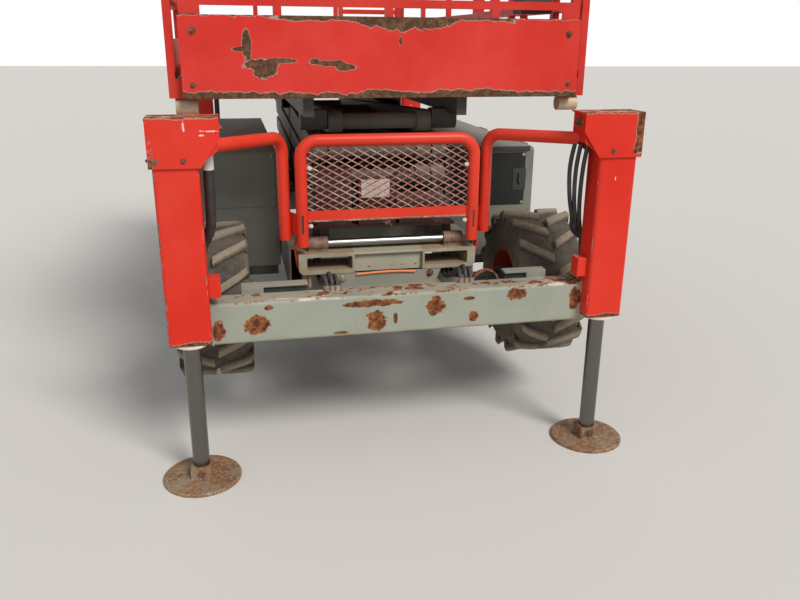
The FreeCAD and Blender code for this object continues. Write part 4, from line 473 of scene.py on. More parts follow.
@dataclass(frozen=True)
class ForkPaint(WornPaint):
    """The fork frame's paint, rusted on the shackle lugs and round the pockets' mouths."""

    underside: float = 0.930
    lug_x: float = 0.405
    mouth_low: float = 0.952
    plate_x: float = 0.193
    earth: Colour = (0.280, 0.205, 0.125)

    def lost(self, nodes: Surface, ragged: Value) -> Optional[Value]:
        """Return the rust on the lugs and along the pockets' floors."""
        height = nodes.axis("Z")
        across = abs(nodes.axis("X"))
        lugs = (height + (ragged - 0.5) * 0.03).fall(self.underside - 0.012, self.underside)
        lugs = lugs * ragged.rise(0.36, 0.50) * across.rise(self.lug_x, self.lug_x + 0.01)
        inner = nodes.axis("Y").rise(-1.846, -1.842) * height.rise(self.mouth_low - 0.004, self.mouth_low)
        floor = inner * height.fall(self.mouth_low + 0.004, self.mouth_low + 0.012) * ragged.rise(0.50, 0.62)
        return lugs.most(floor)

    def over(self, nodes: Surface, colour: Socket, height: Value) -> Layer:
        """Lay dust in the pockets and worn brown round their mouths."""
        across = abs(nodes.axis("X")).rise(self.plate_x - 0.004, self.plate_x)
        inside = nodes.axis("Y").rise(-1.846, -1.838) * across
        worn = nodes.noise(8.0, 5.0, 0.7).rise(0.30, 0.62) * across * 0.74
        return nodes.blend(worn.most(inside * 0.85), colour, self.earth), height


@dataclass(frozen=True)
class DeckPaint(WornPaint):
    """The platform's paint, with raised tread on the bare deck plate and the frame turned near black below the deck."""

    deck: Tuple[float, float] = (1.952, 1.974)
    under: float = 1.864
    oily: Colour = (0.065, 0.060, 0.050)

    def over(self, nodes: Surface, colour: Socket, height: Value) -> Layer:
        """Darken the frame below the deck and lay its tread plate."""
        # The frame is turned near black below the deck.
        under = nodes.axis("Z").fall(self.under, self.under + 0.004)
        return self.tread(nodes, nodes.blend(under, colour, self.oily), height, *self.deck)


@dataclass(frozen=True)
class RustySteel:
    """Bare steel gone to rust, with some of its old colour left in patches."""

    name: str
    dark: Colour = (0.085, 0.030, 0.016)
    light: Colour = (0.36, 0.145, 0.055)
    left: Colour = (0.30, 0.255, 0.20)
    left_share: float = 0.45
    metallic: float = 0.1
    roughness: float = 0.78
    specks: float = 0.0
    speck: Colour = (0.55, 0.47, 0.36)

    def build(self) -> bpy.types.Material:
        """Build the material."""
        nodes = Surface(self.name)
        fine = nodes.noise(42.0, 6.0, 0.7)
        broad = nodes.noise(6.5, 5.0, 0.65)
        rust = nodes.blend(fine.rise(0.34, 0.68), self.dark, self.light)
        remains = (broad * 0.7 + fine * 0.3).rise(0.60 - self.left_share * 0.3, 0.78 - self.left_share * 0.3)
        colour = nodes.blend(remains, rust, self.left)
        grit = nodes.cells(70.0).fall(0.16, 0.26) * nodes.noise(8.0, 3.0).rise(0.42, 0.62) * self.specks
        colour = nodes.blend(grit, colour, self.speck)
        height = fine * 0.7 + nodes.noise(130.0, 3.0, 0.7) * 0.3 + grit
        return nodes.dress({"Metallic": self.metallic}, height, 0.5, 0.002, colour=colour,
                           roughness=self.roughness - remains * 0.16)


@dataclass(frozen=True)
class BrightSteel:
    """Machined or chromed steel with fine streaks along one way and a little brown."""

    name: str
    colour: Colour = (0.60, 0.61, 0.63)
    stain: Colour = (0.22, 0.15, 0.09)
    stain_share: float = 0.15
    roughness: float = 0.16
    streak: Point = (60.0, 60.0, 2.0)
    boss_x: float = 9.0
    boss: Colour = (0.115, 0.062, 0.042)
    boss_light: Colour = (0.230, 0.135, 0.090)

    def build(self) -> bpy.types.Material:
        """Build the material."""
        nodes = Surface(self.name)
        streaks = nodes.noise(1.0, 3.0, 0.6, self.streak)
        cloudy = nodes.noise(17.0, 6.0, 0.7) * 0.7 + streaks * 0.3
        spots = cloudy.rise(0.70 - self.stain_share, 0.80 - self.stain_share)
        colour = nodes.blend(spots * 0.8, self.colour, self.stain)
        ends = abs(nodes.axis("X")).rise(self.boss_x - 0.002, self.boss_x)
        brown = nodes.blend(nodes.noise(24.0, 5.0, 0.7).rise(0.36, 0.66), self.boss, self.boss_light)
        colour = nodes.blend(ends, colour, brown)
        rough = self.roughness + streaks * 0.12 + spots * 0.35 + ends * 0.30
        return nodes.dress({}, streaks, 0.08, 0.0008, colour=colour, roughness=rough,
                           metallic=(1.0 - spots * 0.6) * (1.0 - ends))


@dataclass(frozen=True)
class DustyRubber:
    """Tyre rubber with dry mud on the lugs and in the corners."""

    name: str = "dusty_tyre_rubber"
    rubber: Colour = (0.032, 0.029, 0.025)
    grey: Colour = (0.110, 0.094, 0.074)
    mud: Colour = (0.275, 0.228, 0.164)
    axle_y: float = 1.570
    axle_z: float = 0.736
    tread_radius: float = 0.400
    shine: float = 0.3

    def build(self) -> bpy.types.Material:
        """Build the material."""
        nodes = Surface(self.name)
        along = abs(nodes.axis("Y")) - self.axle_y
        upward = nodes.axis("Z") - self.axle_z
        radius = (along * along + upward * upward) ** 0.5
        broad = nodes.noise(6.0, 5.0, 0.65)
        fine = nodes.noise(34.0, 6.0, 0.72)
        worn = nodes.blend((broad * 0.6 + fine * 0.4).rise(0.30, 0.66), self.rubber, self.grey)
        tops = radius.rise(self.tread_radius + 0.004, self.tread_radius + 0.030)
        foot = (radius + (broad - 0.5) * 0.05).fall(self.tread_radius - 0.035, self.tread_radius + 0.016)
        caked = (tops * 0.90 + foot * 0.25) * (broad * 0.5 + fine * 0.5).rise(0.26, 0.52)
        side = abs(nodes.facing("X")).rise(0.5, 0.9) * broad.rise(0.35, 0.75) * 0.5
        colour = nodes.blend(caked.most(side).least(0.92), worn, self.mud)
        height = fine * 0.7 + nodes.noise(140.0, 3.0, 0.7) * 0.3
        return nodes.dress({"Specular IOR Level": self.shine}, height, 0.5, 0.003, colour=colour,
                           roughness=0.86 + fine * 0.1)


@dataclass(frozen=True)
class Moulded:
    """Plastic, rubber or nylon with a fine grain and some dust."""

    name: str
    colour: Colour
    dusty: Colour
    roughness: float = 0.5
    grain: float = 260.0
    dust: float = 0.5

    def build(self) -> bpy.types.Material:
        """Build the material."""
        nodes = Surface(self.name)
        clouds = nodes.noise(9.0, 5.0, 0.65)
        film = (clouds.rise(0.36, 0.80) + nodes.facing("Z").rise(0.4, 0.95) * 0.6) * self.dust
        colour = nodes.blend(film.least(0.9), self.colour, self.dusty)
        return nodes.dress({}, nodes.noise(self.grain, 2.0), 0.15, 0.0008, colour=colour,
                           roughness=self.roughness + film * 0.25)


@dataclass(frozen=True)
class StudioFloor:
    """The plain pale floor."""

    name: str = "studio_floor"
    colour: Colour = (0.62, 0.60, 0.57)

    def build(self) -> bpy.types.Material:
        """Build the material."""
        plain = {"Roughness": 0.9, "Specular IOR Level": 0.2, "Base Color": (*self.colour, 1.0)}
        return Surface(self.name).dress(plain)


BEAM_PATCHES = (
    Patch(-0.750, 0.815, 0.066, 0.055), Patch(-0.148, 0.796, 0.052, 0.056), Patch(0.160, 0.856, 0.056, 0.052),
    Patch(-0.165, 0.890, 0.160, 0.019), Patch(0.600, 0.893, 0.060, 0.036), Patch(0.370, 0.785, 0.028, 0.034),
    Patch(-0.935, 0.795, 0.032, 0.060), Patch(0.935, 0.850, 0.034, 0.070), Patch(-0.050, 0.800, 0.014, 0.032),
    Patch(0.345, 0.884, 0.034, 0.011), Patch(-0.690, 0.900, 0.024, 0.014), Patch(-0.330, 0.742, 0.044, 0.010),
)
PANEL_PATCHES = (
    Patch(-0.716, 2.120, 0.024, 0.080), Patch(-0.752, 2.104, 0.040, 0.012), Patch(-0.655, 2.030, 0.085, 0.030),
    Patch(-0.636, 2.002, 0.060, 0.040), Patch(-0.560, 2.050, 0.090, 0.014), Patch(-0.300, 2.038, 0.085, 0.016),
    Patch(-0.228, 2.020, 0.055, 0.020), Patch(-0.385, 2.048, 0.028, 0.018), Patch(0.055, 2.150, 0.010, 0.024),
)


class Finish(Enum):
    """The machine's finishes."""

    RED_RAIL = WornPaint("worn_red_paint", (0.520, 0.024, 0.016), (0.590, 0.040, 0.028), 0.015, 0.18, 0.36)
    RED_DECK = DeckPaint("deck_red_paint", (0.470, 0.026, 0.018), (0.540, 0.044, 0.030), 0.03, 0.40, 0.42)
    RED_GUARD = GuardPaint("guard_red_paint", (0.620, 0.032, 0.013), (0.690, 0.050, 0.025), 0.0, 0.10, 0.30,
                           (), (0.62, 0.36, 0.28), (0.16, 0.075, 0.050), (0.50, 0.27, 0.20))
    RED_LEG = LegPaint("leg_red_paint", (0.600, 0.022, 0.009), (0.670, 0.036, 0.019), 0.0, 0.14, 0.36)
    RED_PANEL = PanelPaint("panel_red_paint", (0.560, 0.024, 0.015), (0.640, 0.044, 0.032), 0.0, 0.18, 0.38,
                           PANEL_PATCHES, (0.62, 0.42, 0.36), (0.070, 0.034, 0.018), (0.165, 0.085, 0.042))
    RED_RIM = WornPaint("dusty_red_rim", (0.340, 0.030, 0.020), (0.440, 0.065, 0.044), 0.06, 0.95, 0.62)
    BEAM = BeamPaint("beam_grey_paint", (0.255, 0.285, 0.238), (0.330, 0.345, 0.278), 0.035, 0.75, 0.52,
                     BEAM_PATCHES, (0.42, 0.36, 0.28))
    FRAME_GREY = WornPaint("frame_grey_paint", (0.200, 0.218, 0.190), (0.275, 0.275, 0.225), 0.06, 0.85, 0.55)
    FORK_GREY = ForkPaint("fork_frame_grey_paint", (0.310, 0.315, 0.250), (0.410, 0.385, 0.290), 0.05, 0.95, 0.58)
    # The arms' dark grey is set near their tone in shade: paint with painted shade in it.
    ARM_GREY = WornPaint("arm_grey_paint", (0.110, 0.108, 0.088), (0.165, 0.155, 0.122), 0.04, 0.60, 0.50)
    # The modules' grey-green is darkened partway toward its tone in shade: paint with painted shade in it.
    MODULE = WornPaint("module_grey_paint", (0.148, 0.158, 0.136), (0.205, 0.212, 0.176), 0.0, 0.40, 0.46)
    # A near-black panel colour: painted shade over the right front's upper half, not the module's paint.
    MODULE_DARK = WornPaint("module_dark_panel", (0.013, 0.014, 0.014), (0.020, 0.021, 0.020), 0.0, 0.14, 0.45)
    # Oily dark steel of the axles, knuckles, caps and bands. It is also used as painted shade for the module skirts,
    # hoop slots and ledge webs.
    DARK = WornPaint("oily_dark_steel", (0.030, 0.029, 0.028), (0.060, 0.054, 0.047), 0.10, 0.85, 0.55)
    PUMP = WornPaint("hydraulic_brown", (0.058, 0.024, 0.020), (0.098, 0.045, 0.037), 0.12, 0.40, 0.60)
    MESH = RustySteel("expanded_metal", (0.230, 0.085, 0.070), (0.470, 0.240, 0.200), (0.420, 0.300, 0.250), 0.35,
                      0.3, 0.55)
    RUST = RustySteel("rusty_plate", (0.135, 0.070, 0.036), (0.330, 0.170, 0.082), (0.250, 0.185, 0.125), 0.50,
                      0.1, 0.80, 0.9)
    RUSTY_LUG = RustySteel("rusty_lug", (0.070, 0.030, 0.018), (0.260, 0.110, 0.050), (0.20, 0.15, 0.10), 0.3)
    # The chrome's colour is kept dark as a painted reflection of dark surroundings, since glossy rays see a white
    # world.
    CHROME = BrightSteel("chrome_rod", (0.175, 0.168, 0.150), (0.12, 0.09, 0.06), 0.02, 0.10)
    BRIGHT = BrightSteel("machined_steel", (0.36, 0.365, 0.36), (0.20, 0.14, 0.10), 0.12, 0.24,
                         (2.0, 60.0, 60.0), 0.330)
    ZINC = BrightSteel("zinc_fasteners", (0.46, 0.45, 0.40), (0.24, 0.15, 0.09), 0.26, 0.36, (30.0, 30.0, 30.0))
    TYRE = DustyRubber()
    HOSE = Moulded("hose_rubber", (0.014, 0.014, 0.015), (0.085, 0.074, 0.062), 0.52)
    PLASTIC = Moulded("black_plastic", (0.012, 0.012, 0.013), (0.070, 0.062, 0.052), 0.42, 400.0, 0.3)
    NYLON = Moulded("aged_nylon", (0.560, 0.440, 0.290), (0.330, 0.250, 0.165), 0.5, 120.0, 0.7)
    TAPE = Moulded("pale_tape", (0.640, 0.620, 0.580), (0.420, 0.370, 0.300), 0.55, 160.0, 0.5)
    PLATE = Moulded("pale_plate", (0.740, 0.670, 0.580), (0.420, 0.320, 0.240), 0.5, 90.0, 0.45)
    ORANGE = Moulded("orange_sleeve", (0.760, 0.210, 0.060), (0.420, 0.200, 0.100), 0.5, 90.0, 0.5)
    STOP_RED = Moulded("stop_button_red", (0.620, 0.020, 0.014), (0.40, 0.10, 0.07), 0.35, 300.0, 0.2)
    YELLOW = Moulded("yellow_collar", (0.780, 0.500, 0.030), (0.50, 0.36, 0.12), 0.4, 300.0, 0.2)

    def material(self) -> bpy.types.Material:
        """Return the finish's material, built once."""
        return bpy.data.materials.get(self.value.name) or self.value.build()



def outward(shape: bmesh.types.BMesh) -> bmesh.types.BMesh:
    """Turn the faces outward and return the same shape."""
    bmesh.ops.recalc_face_normals(shape, faces=shape.faces)
    return shape


def loft(shape: bmesh.types.BMesh, rings: Sequence[Sequence[bmesh.types.BMVert]], closed: bool = False) -> None:
    """Join each ring of corners to the next with faces.

    Args:
        shape: The faces that they go to.
        rings: Rings with as many corners each.
        closed: Whether the last ring joins the first.
    """
    for near, far in zip(rings, [*rings[1:], rings[0]] if closed else rings[1:]):
        for index in range(len(near)):
            after = (index + 1) % len(near)
            shape.faces.new((near[index], near[after], far[after], far[index]))


def stand(name: str, mesh: bpy.types.Mesh, linked: bool = True) -> bpy.types.Object:
    """Return a new object with a mesh, in the scene if it is linked."""
    item = bpy.data.objects.new(name, mesh)
    if linked:
        bpy.context.scene.collection.objects.link(item)
    return item


def scrap(name: str, shape: bmesh.types.BMesh, linked: bool = True) -> bpy.types.Object:
    """Turn faces, which are freed, into a new object. Helper models aren't linked to the scene."""
    mesh = bpy.data.meshes.new(name)
    shape.to_mesh(mesh)
    shape.free()
    return stand(name, mesh, linked)


@dataclass
class Piece:
    """What a piece is called, made of, rides on and stands for."""

    name: str
    finish: Finish
    body: str = "chassis"
    slot: Optional[str] = None
    smooth: bool = False
    replaces: Tuple[str, ...] = ()

    def settle(self, item: bpy.types.Object) -> None:
        """Give an object at the origin its material, shading and body, and report it."""
        mesh = item.data
        mesh.materials.clear()
        mesh.materials.append(self.finish.material())
        if self.smooth:
            mesh.shade_smooth()
            mesh.set_sharp_from_angle(angle=SMOOTH_BELOW)
        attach(item, self.body)
        if self.replaces:
            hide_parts(*self.replaces)
        LOG.info("%s rides on %s with %d faces", item.name, self.body, len(mesh.polygons))


@dataclass
class Maker(Piece):
    """Collects the faces of one piece in metres and turns them into an object."""

    shape: bmesh.types.BMesh = field(default_factory=bmesh.new)

    def block(self, low: Point, high: Point, bevel: float = 0.0) -> None:
        """Add a box between opposite corners, its edges softened by a bevel's width."""
        place = Matrix.Translation((Vector(high) + Vector(low)) / 2)
        place = place @ Matrix.Diagonal((*(Vector(high) - Vector(low)), 1.0))
        verts = bmesh.ops.create_cube(self.shape, size=1.0, matrix=place)["verts"]
        if bevel > 0:
            edges = list({edge for vert in verts for edge in vert.link_edges})
            bmesh.ops.bevel(self.shape, geom=edges, offset=bevel, segments=2, profile=0.5, affect="EDGES")

    def lathe(self, profile: Sequence[Tuple[float, float]], centre: Point, axis: Point, steps: int = 32,
              closed: bool = False) -> None:
        """Turn a profile of distances along an axis and radii about it.

        Args:
            profile: Pairs of distance along the axis and radius.
            centre: The point on the axis where distance is 0.
            axis: The direction of the axis.
            steps: Faces round the axis.
            closed: Whether the profile's last point joins its first.
        """
        turn = Vector(axis).normalized().to_track_quat("Z", "Y").to_matrix()
        rings = []
        for along, radius in profile:
            angles = [FULL_TURN * step / steps for step in range(steps)]
            spots = [Vector((radius * math.cos(angle), radius * math.sin(angle), along)) for angle in angles]
            rings.append([self.shape.verts.new(Vector(centre) + turn @ spot) for spot in spots])
        loft(self.shape, rings, closed)
        if not closed:
            self.shape.faces.new(rings[0][::-1])
            self.shape.faces.new(rings[-1])

    def sheet(self, outline: Sequence[Point], push: Point) -> None:
        """Add a flat plate: an outline pushed along a vector."""
        near = [self.shape.verts.new(Vector(point)) for point in outline]
        far = [self.shape.verts.new(Vector(point) + Vector(push)) for point in outline]
        self.shape.faces.new(near[::-1])
        self.shape.faces.new(far)
        loft(self.shape, (near, far))

    def done(self) -> None:
        """Turn the faces into the piece's object."""
        self.settle(scrap(self.name, outward(self.shape)))

    def boxes(self, bevel: float, *corners: Tuple[Point, Point]) -> None:
        """Add boxes of one bevel, each by its opposite corners, and end the piece."""
        for low, high in corners:
            self.block(low, high, bevel)
        self.done()


class RepeatTree(Nodes):
    """A Geometry Nodes tree with named inputs, built once and used by several pieces."""

    def __init__(self, name: str, **inputs: str) -> None:
        """Start a tree that takes geometry and a material and gives geometry.

        Args:
            name: The tree's name.
            inputs: The kind of socket, such as Float, of each further input.
        """
        super().__init__(bpy.data.node_groups.new(name, "GeometryNodeTree"))
        self.tree.interface.new_socket("Geometry", in_out="OUTPUT", socket_type="NodeSocketGeometry")
        for label, kind in {"Geometry": "Geometry", **inputs, "Material": "Material"}.items():
            self.tree.interface.new_socket(label, in_out="INPUT", socket_type="NodeSocket" + kind)
        self.asked = self.add("NodeGroupInput")

    def copies(self, points: Socket, model: str, **sockets: Number) -> Socket:
        """Set copies of a model on points.

        Args:
            points: The points.
            model: The input that holds the model.
            sockets: The copies' Rotation and Scale.

        Returns:
            The copies.
        """
        shape = self.add("GeometryNodeObjectInfo", {"Object": self.asked[model]})["Geometry"]
        return self.add("GeometryNodeInstanceOnPoints", {"Points": points, "Instance": shape, **sockets})[0]

    def close(self, geometry: Socket) -> None:
        """Realize the instances, set the material and end the tree."""
        real = self.add("GeometryNodeRealizeInstances", {0: geometry})
        coloured = self.add("GeometryNodeSetMaterial", {0: real[0], "Material": self.asked["Material"]})
        self.add("NodeGroupOutput", {0: coloured[0]})

    def run(self, carrier: bpy.types.Object, piece: Piece, move: Optional[Matrix] = None, **values: object) -> None:
        """Evaluate the tree on an object and keep the result as a plain mesh.

        Args:
            carrier: The object that holds the modifier. It is removed afterwards.
            piece: What the result becomes.
            move: A matrix for the result, or None.
            values: The tree's inputs by name. Models among them are removed afterwards.
        """
        values["Material"] = piece.finish.material()
        modifier = carrier.modifiers.new("repeat", "NODES")
        modifier.node_group = self.tree
        for item in self.tree.interface.items_tree:
            if item.item_type == "SOCKET" and item.in_out == "INPUT" and item.name in values:
                modifier[item.identifier] = values[item.name]
        bpy.context.view_layer.update()
        depsgraph = bpy.context.evaluated_depsgraph_get()
        mesh = bpy.data.meshes.new_from_object(carrier.evaluated_get(depsgraph))
        carrier.modifiers.remove(modifier)
        for helper in (carrier, *values.values()):
            if isinstance(helper, bpy.types.Object):
                bpy.data.objects.remove(helper)
        shape = bmesh.new()
        shape.from_mesh(mesh)
        outward(shape).to_mesh(mesh)
        shape.free()
        mesh.name = piece.name
        if move is not None:
            mesh.transform(move)
        piece.settle(stand(piece.name, mesh))


@dataclass(frozen=True)
class Bolt:
    """A hex bolt's place, direction and size across its flats."""

    at: Point
    facing: Point
    size: float = 0.019


class Bolts:
    """Hex bolts with washers, set on points by one node tree."""

    def __init__(self) -> None:
        """Build the tree: a bolt on every point, turned to its facing and spun at random."""
        tree = self.tree = RepeatTree("bolts_on_points", Bolt="Object", Seed="Int")
        facing = tree.add("GeometryNodeInputNamedAttribute", {"Name": "facing"}, data_type="FLOAT_VECTOR")
        size = tree.add("GeometryNodeInputNamedAttribute", {"Name": "size"}, data_type="FLOAT")
        turn = tree.add("FunctionNodeAlignRotationToVector", {"Vector": facing[0]}, axis="Z")
        chance = tree.add("FunctionNodeRandomValue", {2: 0.0, 3: LARGEST_SPIN, "Seed": tree.asked["Seed"]},
                          data_type="FLOAT")
        spin = tree.add("FunctionNodeAxisAngleToRotation", {"Axis": (0.0, 0.0, 1.0), "Angle": chance[1]})
        both = tree.add("FunctionNodeRotateRotation", {0: turn[0], 1: spin[0]}, rotation_space="LOCAL")
        tree.close(tree.copies(tree.asked[0], "Bolt", Rotation=both[0], Scale=size[0]))

    @staticmethod
    def _model() -> bpy.types.Object:
        """Build one bolt's washer, head and point, one unit across the flats."""
        shape = bmesh.new()
        for sides, foot, top, depth, middle in ((20, 0.92, 0.8832, 0.12, 0.04), (6, 0.577, 0.55392, 0.52, 0.36),
                                                (12, 0.30, 0.26, 0.22, 0.70)):
            bmesh.ops.create_cone(shape, cap_ends=True, segments=sides, radius1=foot, radius2=top, depth=depth,
                                  matrix=Matrix.Translation((0, 0, middle)))
        return scrap("bolt_model", shape, linked=False)

    def place(self, piece: Piece, bolts: Sequence[Bolt], seed: int = 7) -> None:
        """Set bolts and join them in one piece.

        Args:
            piece: What they become.
            bolts: The bolts.
            seed: The seed of their spin.
        """
        points = bpy.data.meshes.new(piece.name + "_points")
        points.from_pydata([bolt.at for bolt in bolts], [], [])
        points.attributes.new("facing", "FLOAT_VECTOR", "POINT")
        points.attributes.new("size", "FLOAT", "POINT")
        for index, bolt in enumerate(bolts):
            points.attributes["facing"].data[index].vector = bolt.facing
            points.attributes["size"].data[index].value = bolt.size
        self.tree.run(stand(points.name, points), piece, Bolt=self._model(), Seed=seed)


@dataclass
class Tyres:
    """The four flotation tyres: a rounded carcass with two rows of tall slanted lugs."""

    radius: float = 0.440
    tread: float = 0.404
    half_width: float = 0.203
    bead: float = 0.212
    lugs: int = 15
    lug_reach: float = 0.012
    lug_turn: float = 0.30
    lug_sink: float = 0.010
    shoulder: float = 0.195
    steps: int = 90
    axle: Point = (0.967, 1.570, 0.736)

    def profile(self) -> List[Tuple[float, float]]:
        """Return the carcass's closed section as distances along the axle and radii."""
        half, bead, tread = self.half_width, self.bead, self.tread
        outer = [(-half + 0.022, bead), (-half + 0.006, bead + 0.022), (-half + 0.010, bead + 0.038),
                 (-half + 0.002, bead + 0.085), (-half, bead + 0.125), (-half + 0.006, tread - 0.045),
                 (-half + 0.026, tread - 0.016), (-half + 0.056, tread - 0.004), (-0.07, tread), (0.07, tread)]
        mirrored = [(-along, radius) for along, radius in reversed(outer[:-2])]
        return outer + mirrored + [(half - 0.040, bead - 0.006), (-half + 0.040, bead - 0.006)]

    def lug(self, side: int) -> bpy.types.Object:
        """Build one lug of a row, centred on the top of the tyre.

        Args:
            side: -1 or 1, the half of the tread that it lies on.

        Returns:
            A helper object.
        """
        shape = bmesh.new()
        rings = []
        for across, share, lift in ((self.lug_reach, 0.0, 1.0), (0.075, 0.30, 1.0), (0.145, 0.62, 1.0),
                                    (0.188, 0.88, 0.97), (0.201, 1.0, 0.80), (0.2015, 1.05, 0.0)):
            over = across > self.shoulder
            base = self.tread - self.lug_sink - (0.055 if over else 0.0)
            top = base + (self.radius - self.tread + 0.009) * lift + (0.045 if over else 0.0) * lift
            foot = 0.031 - 0.006 * share
            head = 0.021 - 0.002 * share
            ring = []
            for half, height in ((-foot, base), (-head, top), (head, top), (foot, base)):
                angle = (share - 0.5) * self.lug_turn + half / self.tread
                ring.append(shape.verts.new((side * across, height * math.sin(angle), height * math.cos(angle))))
            rings.append(ring)
        loft(shape, rings)
        shape.faces.new(rings[0])
        shape.faces.new(rings[-1][::-1])
        tops = [edge for edge in outward(shape).edges
                if all(math.hypot(vert.co.y, vert.co.z) > self.tread + 0.012 for vert in edge.verts)]
        bmesh.ops.bevel(shape, geom=tops, offset=0.0035, segments=2, profile=0.5, affect="EDGES")
        return scrap("lug", shape, linked=False)

    @staticmethod
    def build_tree() -> RepeatTree:
        """Build the tree that repeats two lugs round the carcass."""
        tree = RepeatTree("lugs_round_tyre", Left="Object", Right="Object", Count="Int")
        rows = [tree.asked[0]]
        for name, shift in (("Left", 0.0), ("Right", 0.5)):
            line = tree.add("GeometryNodeMeshLine", {"Count": tree.asked["Count"], "Offset": (0, 0, 0)})
            turn = (tree.value("GeometryNodeInputIndex") + shift) / tree.asked["Count"] * FULL_TURN
            spin = tree.add("FunctionNodeAxisAngleToRotation", {"Axis": (1.0, 0.0, 0.0), "Angle": turn})
            rows.append(tree.copies(line[0], name, Rotation=spin[0]))
        tree.close(tree.add("GeometryNodeJoinGeometry", {0: rows})[0])
        return tree

    def build(self) -> None:
        """Build the tyres and let them stand for the CAD ones."""
        tree = self.build_tree()
        for corner, side, end in CORNERS:
            tyre = Maker("tread_tyre_" + corner, Finish.TYRE, "wheel_" + corner, "tyre_rubber", True,
                         ("tyre_" + corner,))
            tyre.lathe(self.profile(), (0, 0, 0), (1, 0, 0), self.steps, closed=True)
            place = Matrix.Translation((side * self.axle[0], end * self.axle[1], self.axle[2]))
            tree.run(scrap("carcass", outward(tyre.shape)), tyre, place, Left=self.lug(-1), Right=self.lug(1),
                     Count=self.lugs)


@dataclass
class Wheels:
    """Wheel nuts and hub caps on the rims."""

    tyres: Tyres
    disc_inset: float = 0.118
    bolt_circle: float = 0.115
    nuts: int = 8
    nut_size: float = 0.024
    hub: float = 0.032

    def build(self, bolts: Bolts) -> None:
        """Dress the rims.

        Args:
            bolts: The maker of the nuts.
        """
        axle_x, axle_y, z = self.tyres.axle
        for corner, side, end in CORNERS:
            y = end * axle_y
            face = side * (axle_x + self.tyres.half_width - self.disc_inset)
            nuts = []
            for index in range(self.nuts):
                turn = FULL_TURN * (index + 0.5) / self.nuts
                spot = (face, y + self.bolt_circle * math.cos(turn), z + self.bolt_circle * math.sin(turn))
                nuts.append(Bolt(spot, (side, 0, 0), self.nut_size))
            bolts.place(Piece("wheel_nuts_" + corner, Finish.ZINC, "wheel_" + corner), nuts)
            cap = Maker("hub_cap_" + corner, Finish.DARK, "wheel_" + corner, "dark_steel", True)
            cap.lathe([(0.0, 0.058), (0.016, 0.058), (0.024, 0.050), (0.026, 0.0005)],
                      (face + side * self.hub, y, z), (side, 0, 0), 28)
            cap.done()


@dataclass
class GuardMesh:
    """Expanded metal inside the front hoop: rows of raised strands round diamond openings."""

    columns: int = 13
    rows: int = 9
    strand: float = 0.0052
    depth: float = 0.0034
    lean: float = 0.35

    def cell(self, width: float, height: float) -> bpy.types.Object:
        """Build the four twisted strands round one opening.

        Args:
            width: The opening's pitch across.
            height: Its pitch upwards.

        Returns:
            A helper object.
        """
        shape = bmesh.new()
        out = Vector((0, 1, 0))
        for sx, sz in ((-1, -1), (-1, 1), (1, -1), (1, 1)):
            spots = Vector((sx * width / 2, 0, 0)), Vector((0, 0, sz * height / 2))
            across = out.cross((spots[1] - spots[0]).normalized())
            lean = self.lean * sz
            wide = (across * math.cos(lean) + out * math.sin(lean)) * self.strand / 2
            thin = (out * math.cos(lean) - across * math.sin(lean)) * self.depth / 2
            rings = [[shape.verts.new(spot + wide * a + thin * b) for a, b in ((-1, -1), (1, -1), (1, 1), (-1, 1))]
                     for spot in spots]
            loft(shape, rings)
            for ring in rings:
                shape.faces.new(ring)
        return scrap("diamond", outward(shape), linked=False)

    def build(self) -> None:
        """Build the mesh in the place of the CAD sheet."""
        low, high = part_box("guard_mesh")
        width, height = high.x - low.x, high.z - low.z
        tree = RepeatTree("diamonds_in_hoop", Cell="Object", Columns="Int", Rows="Int", Width="Float",
                          Height="Float")
        sockets = {}
        for axis, whole, count in (("X", "Width", "Columns"), ("Y", "Height", "Rows")):
            size = Value(tree, tree.asked[whole])
            sockets["Size " + axis] = size - size / tree.asked[count]
            sockets["Vertices " + axis] = tree.asked[count]
        tree.close(tree.copies(tree.add("GeometryNodeMeshGrid", sockets)[0], "Cell"))
        cell = self.cell(width / self.columns, height / self.rows)
        cell.data.transform(Matrix.Rotation(-math.pi / 2, 4, "X"))
        place = Matrix.Translation((0, (low.y + high.y) / 2, (low.z + high.z) / 2))
        tree.run(scrap("mesh_carrier", bmesh.new()),
                 Piece("expanded_metal", Finish.MESH, slot="bare_steel", replaces=("guard_mesh",)),
                 place @ Matrix.Rotation(math.pi / 2, 4, "X"), Cell=cell, Columns=self.columns, Rows=self.rows,
                 Width=width, Height=height)


def line_carrier(name: str, lines: Lines) -> bpy.types.Object:
    """Return a helper object of edges that run through the points of each line."""
    shape = bmesh.new()
    for line in lines:
        verts = [shape.verts.new(Vector(point)) for point in line]
        for pair in zip(verts, verts[1:]):
            shape.edges.new(pair)
    return scrap(name, shape)


class Hoses:
    """Round hoses laid along smooth lines by one node tree."""

    sides = 12
    steps = 6

    def __init__(self) -> None:
        """Build the tree."""
        tree = self.tree = RepeatTree("hose_along_line", Radius="Float", Sides="Int", Steps="Int")
        asked = tree.asked
        line = tree.add("GeometryNodeMeshToCurve", {"Mesh": asked[0]})
        smooth = tree.add("GeometryNodeCurveSplineType", {"Curve": line[0]}, spline_type="CATMULL_ROM")
        fine = tree.add("GeometryNodeSetSplineResolution", {"Geometry": smooth[0], "Resolution": asked["Steps"]})
        ring = tree.add("GeometryNodeCurvePrimitiveCircle",
                        {"Resolution": asked["Sides"], "Radius": asked["Radius"]})
        wall = tree.add("GeometryNodeCurveToMesh",
                        {"Curve": fine[0], "Profile Curve": ring[0], "Fill Caps": True})
        tree.close(wall[0])

    def lay(self, name: str, lines: Lines, radius: float, finish: Finish = Finish.HOSE) -> None:
        """Lay hoses of one thickness on the chassis.

        Args:
            name: The piece's name.
            lines: The points of each hose.
            radius: The hoses' radius.
            finish: Their material.
        """
        self.tree.run(line_carrier(name, lines), Piece(name, finish, smooth=True), Radius=radius,
                      Sides=self.sides, Steps=self.steps)


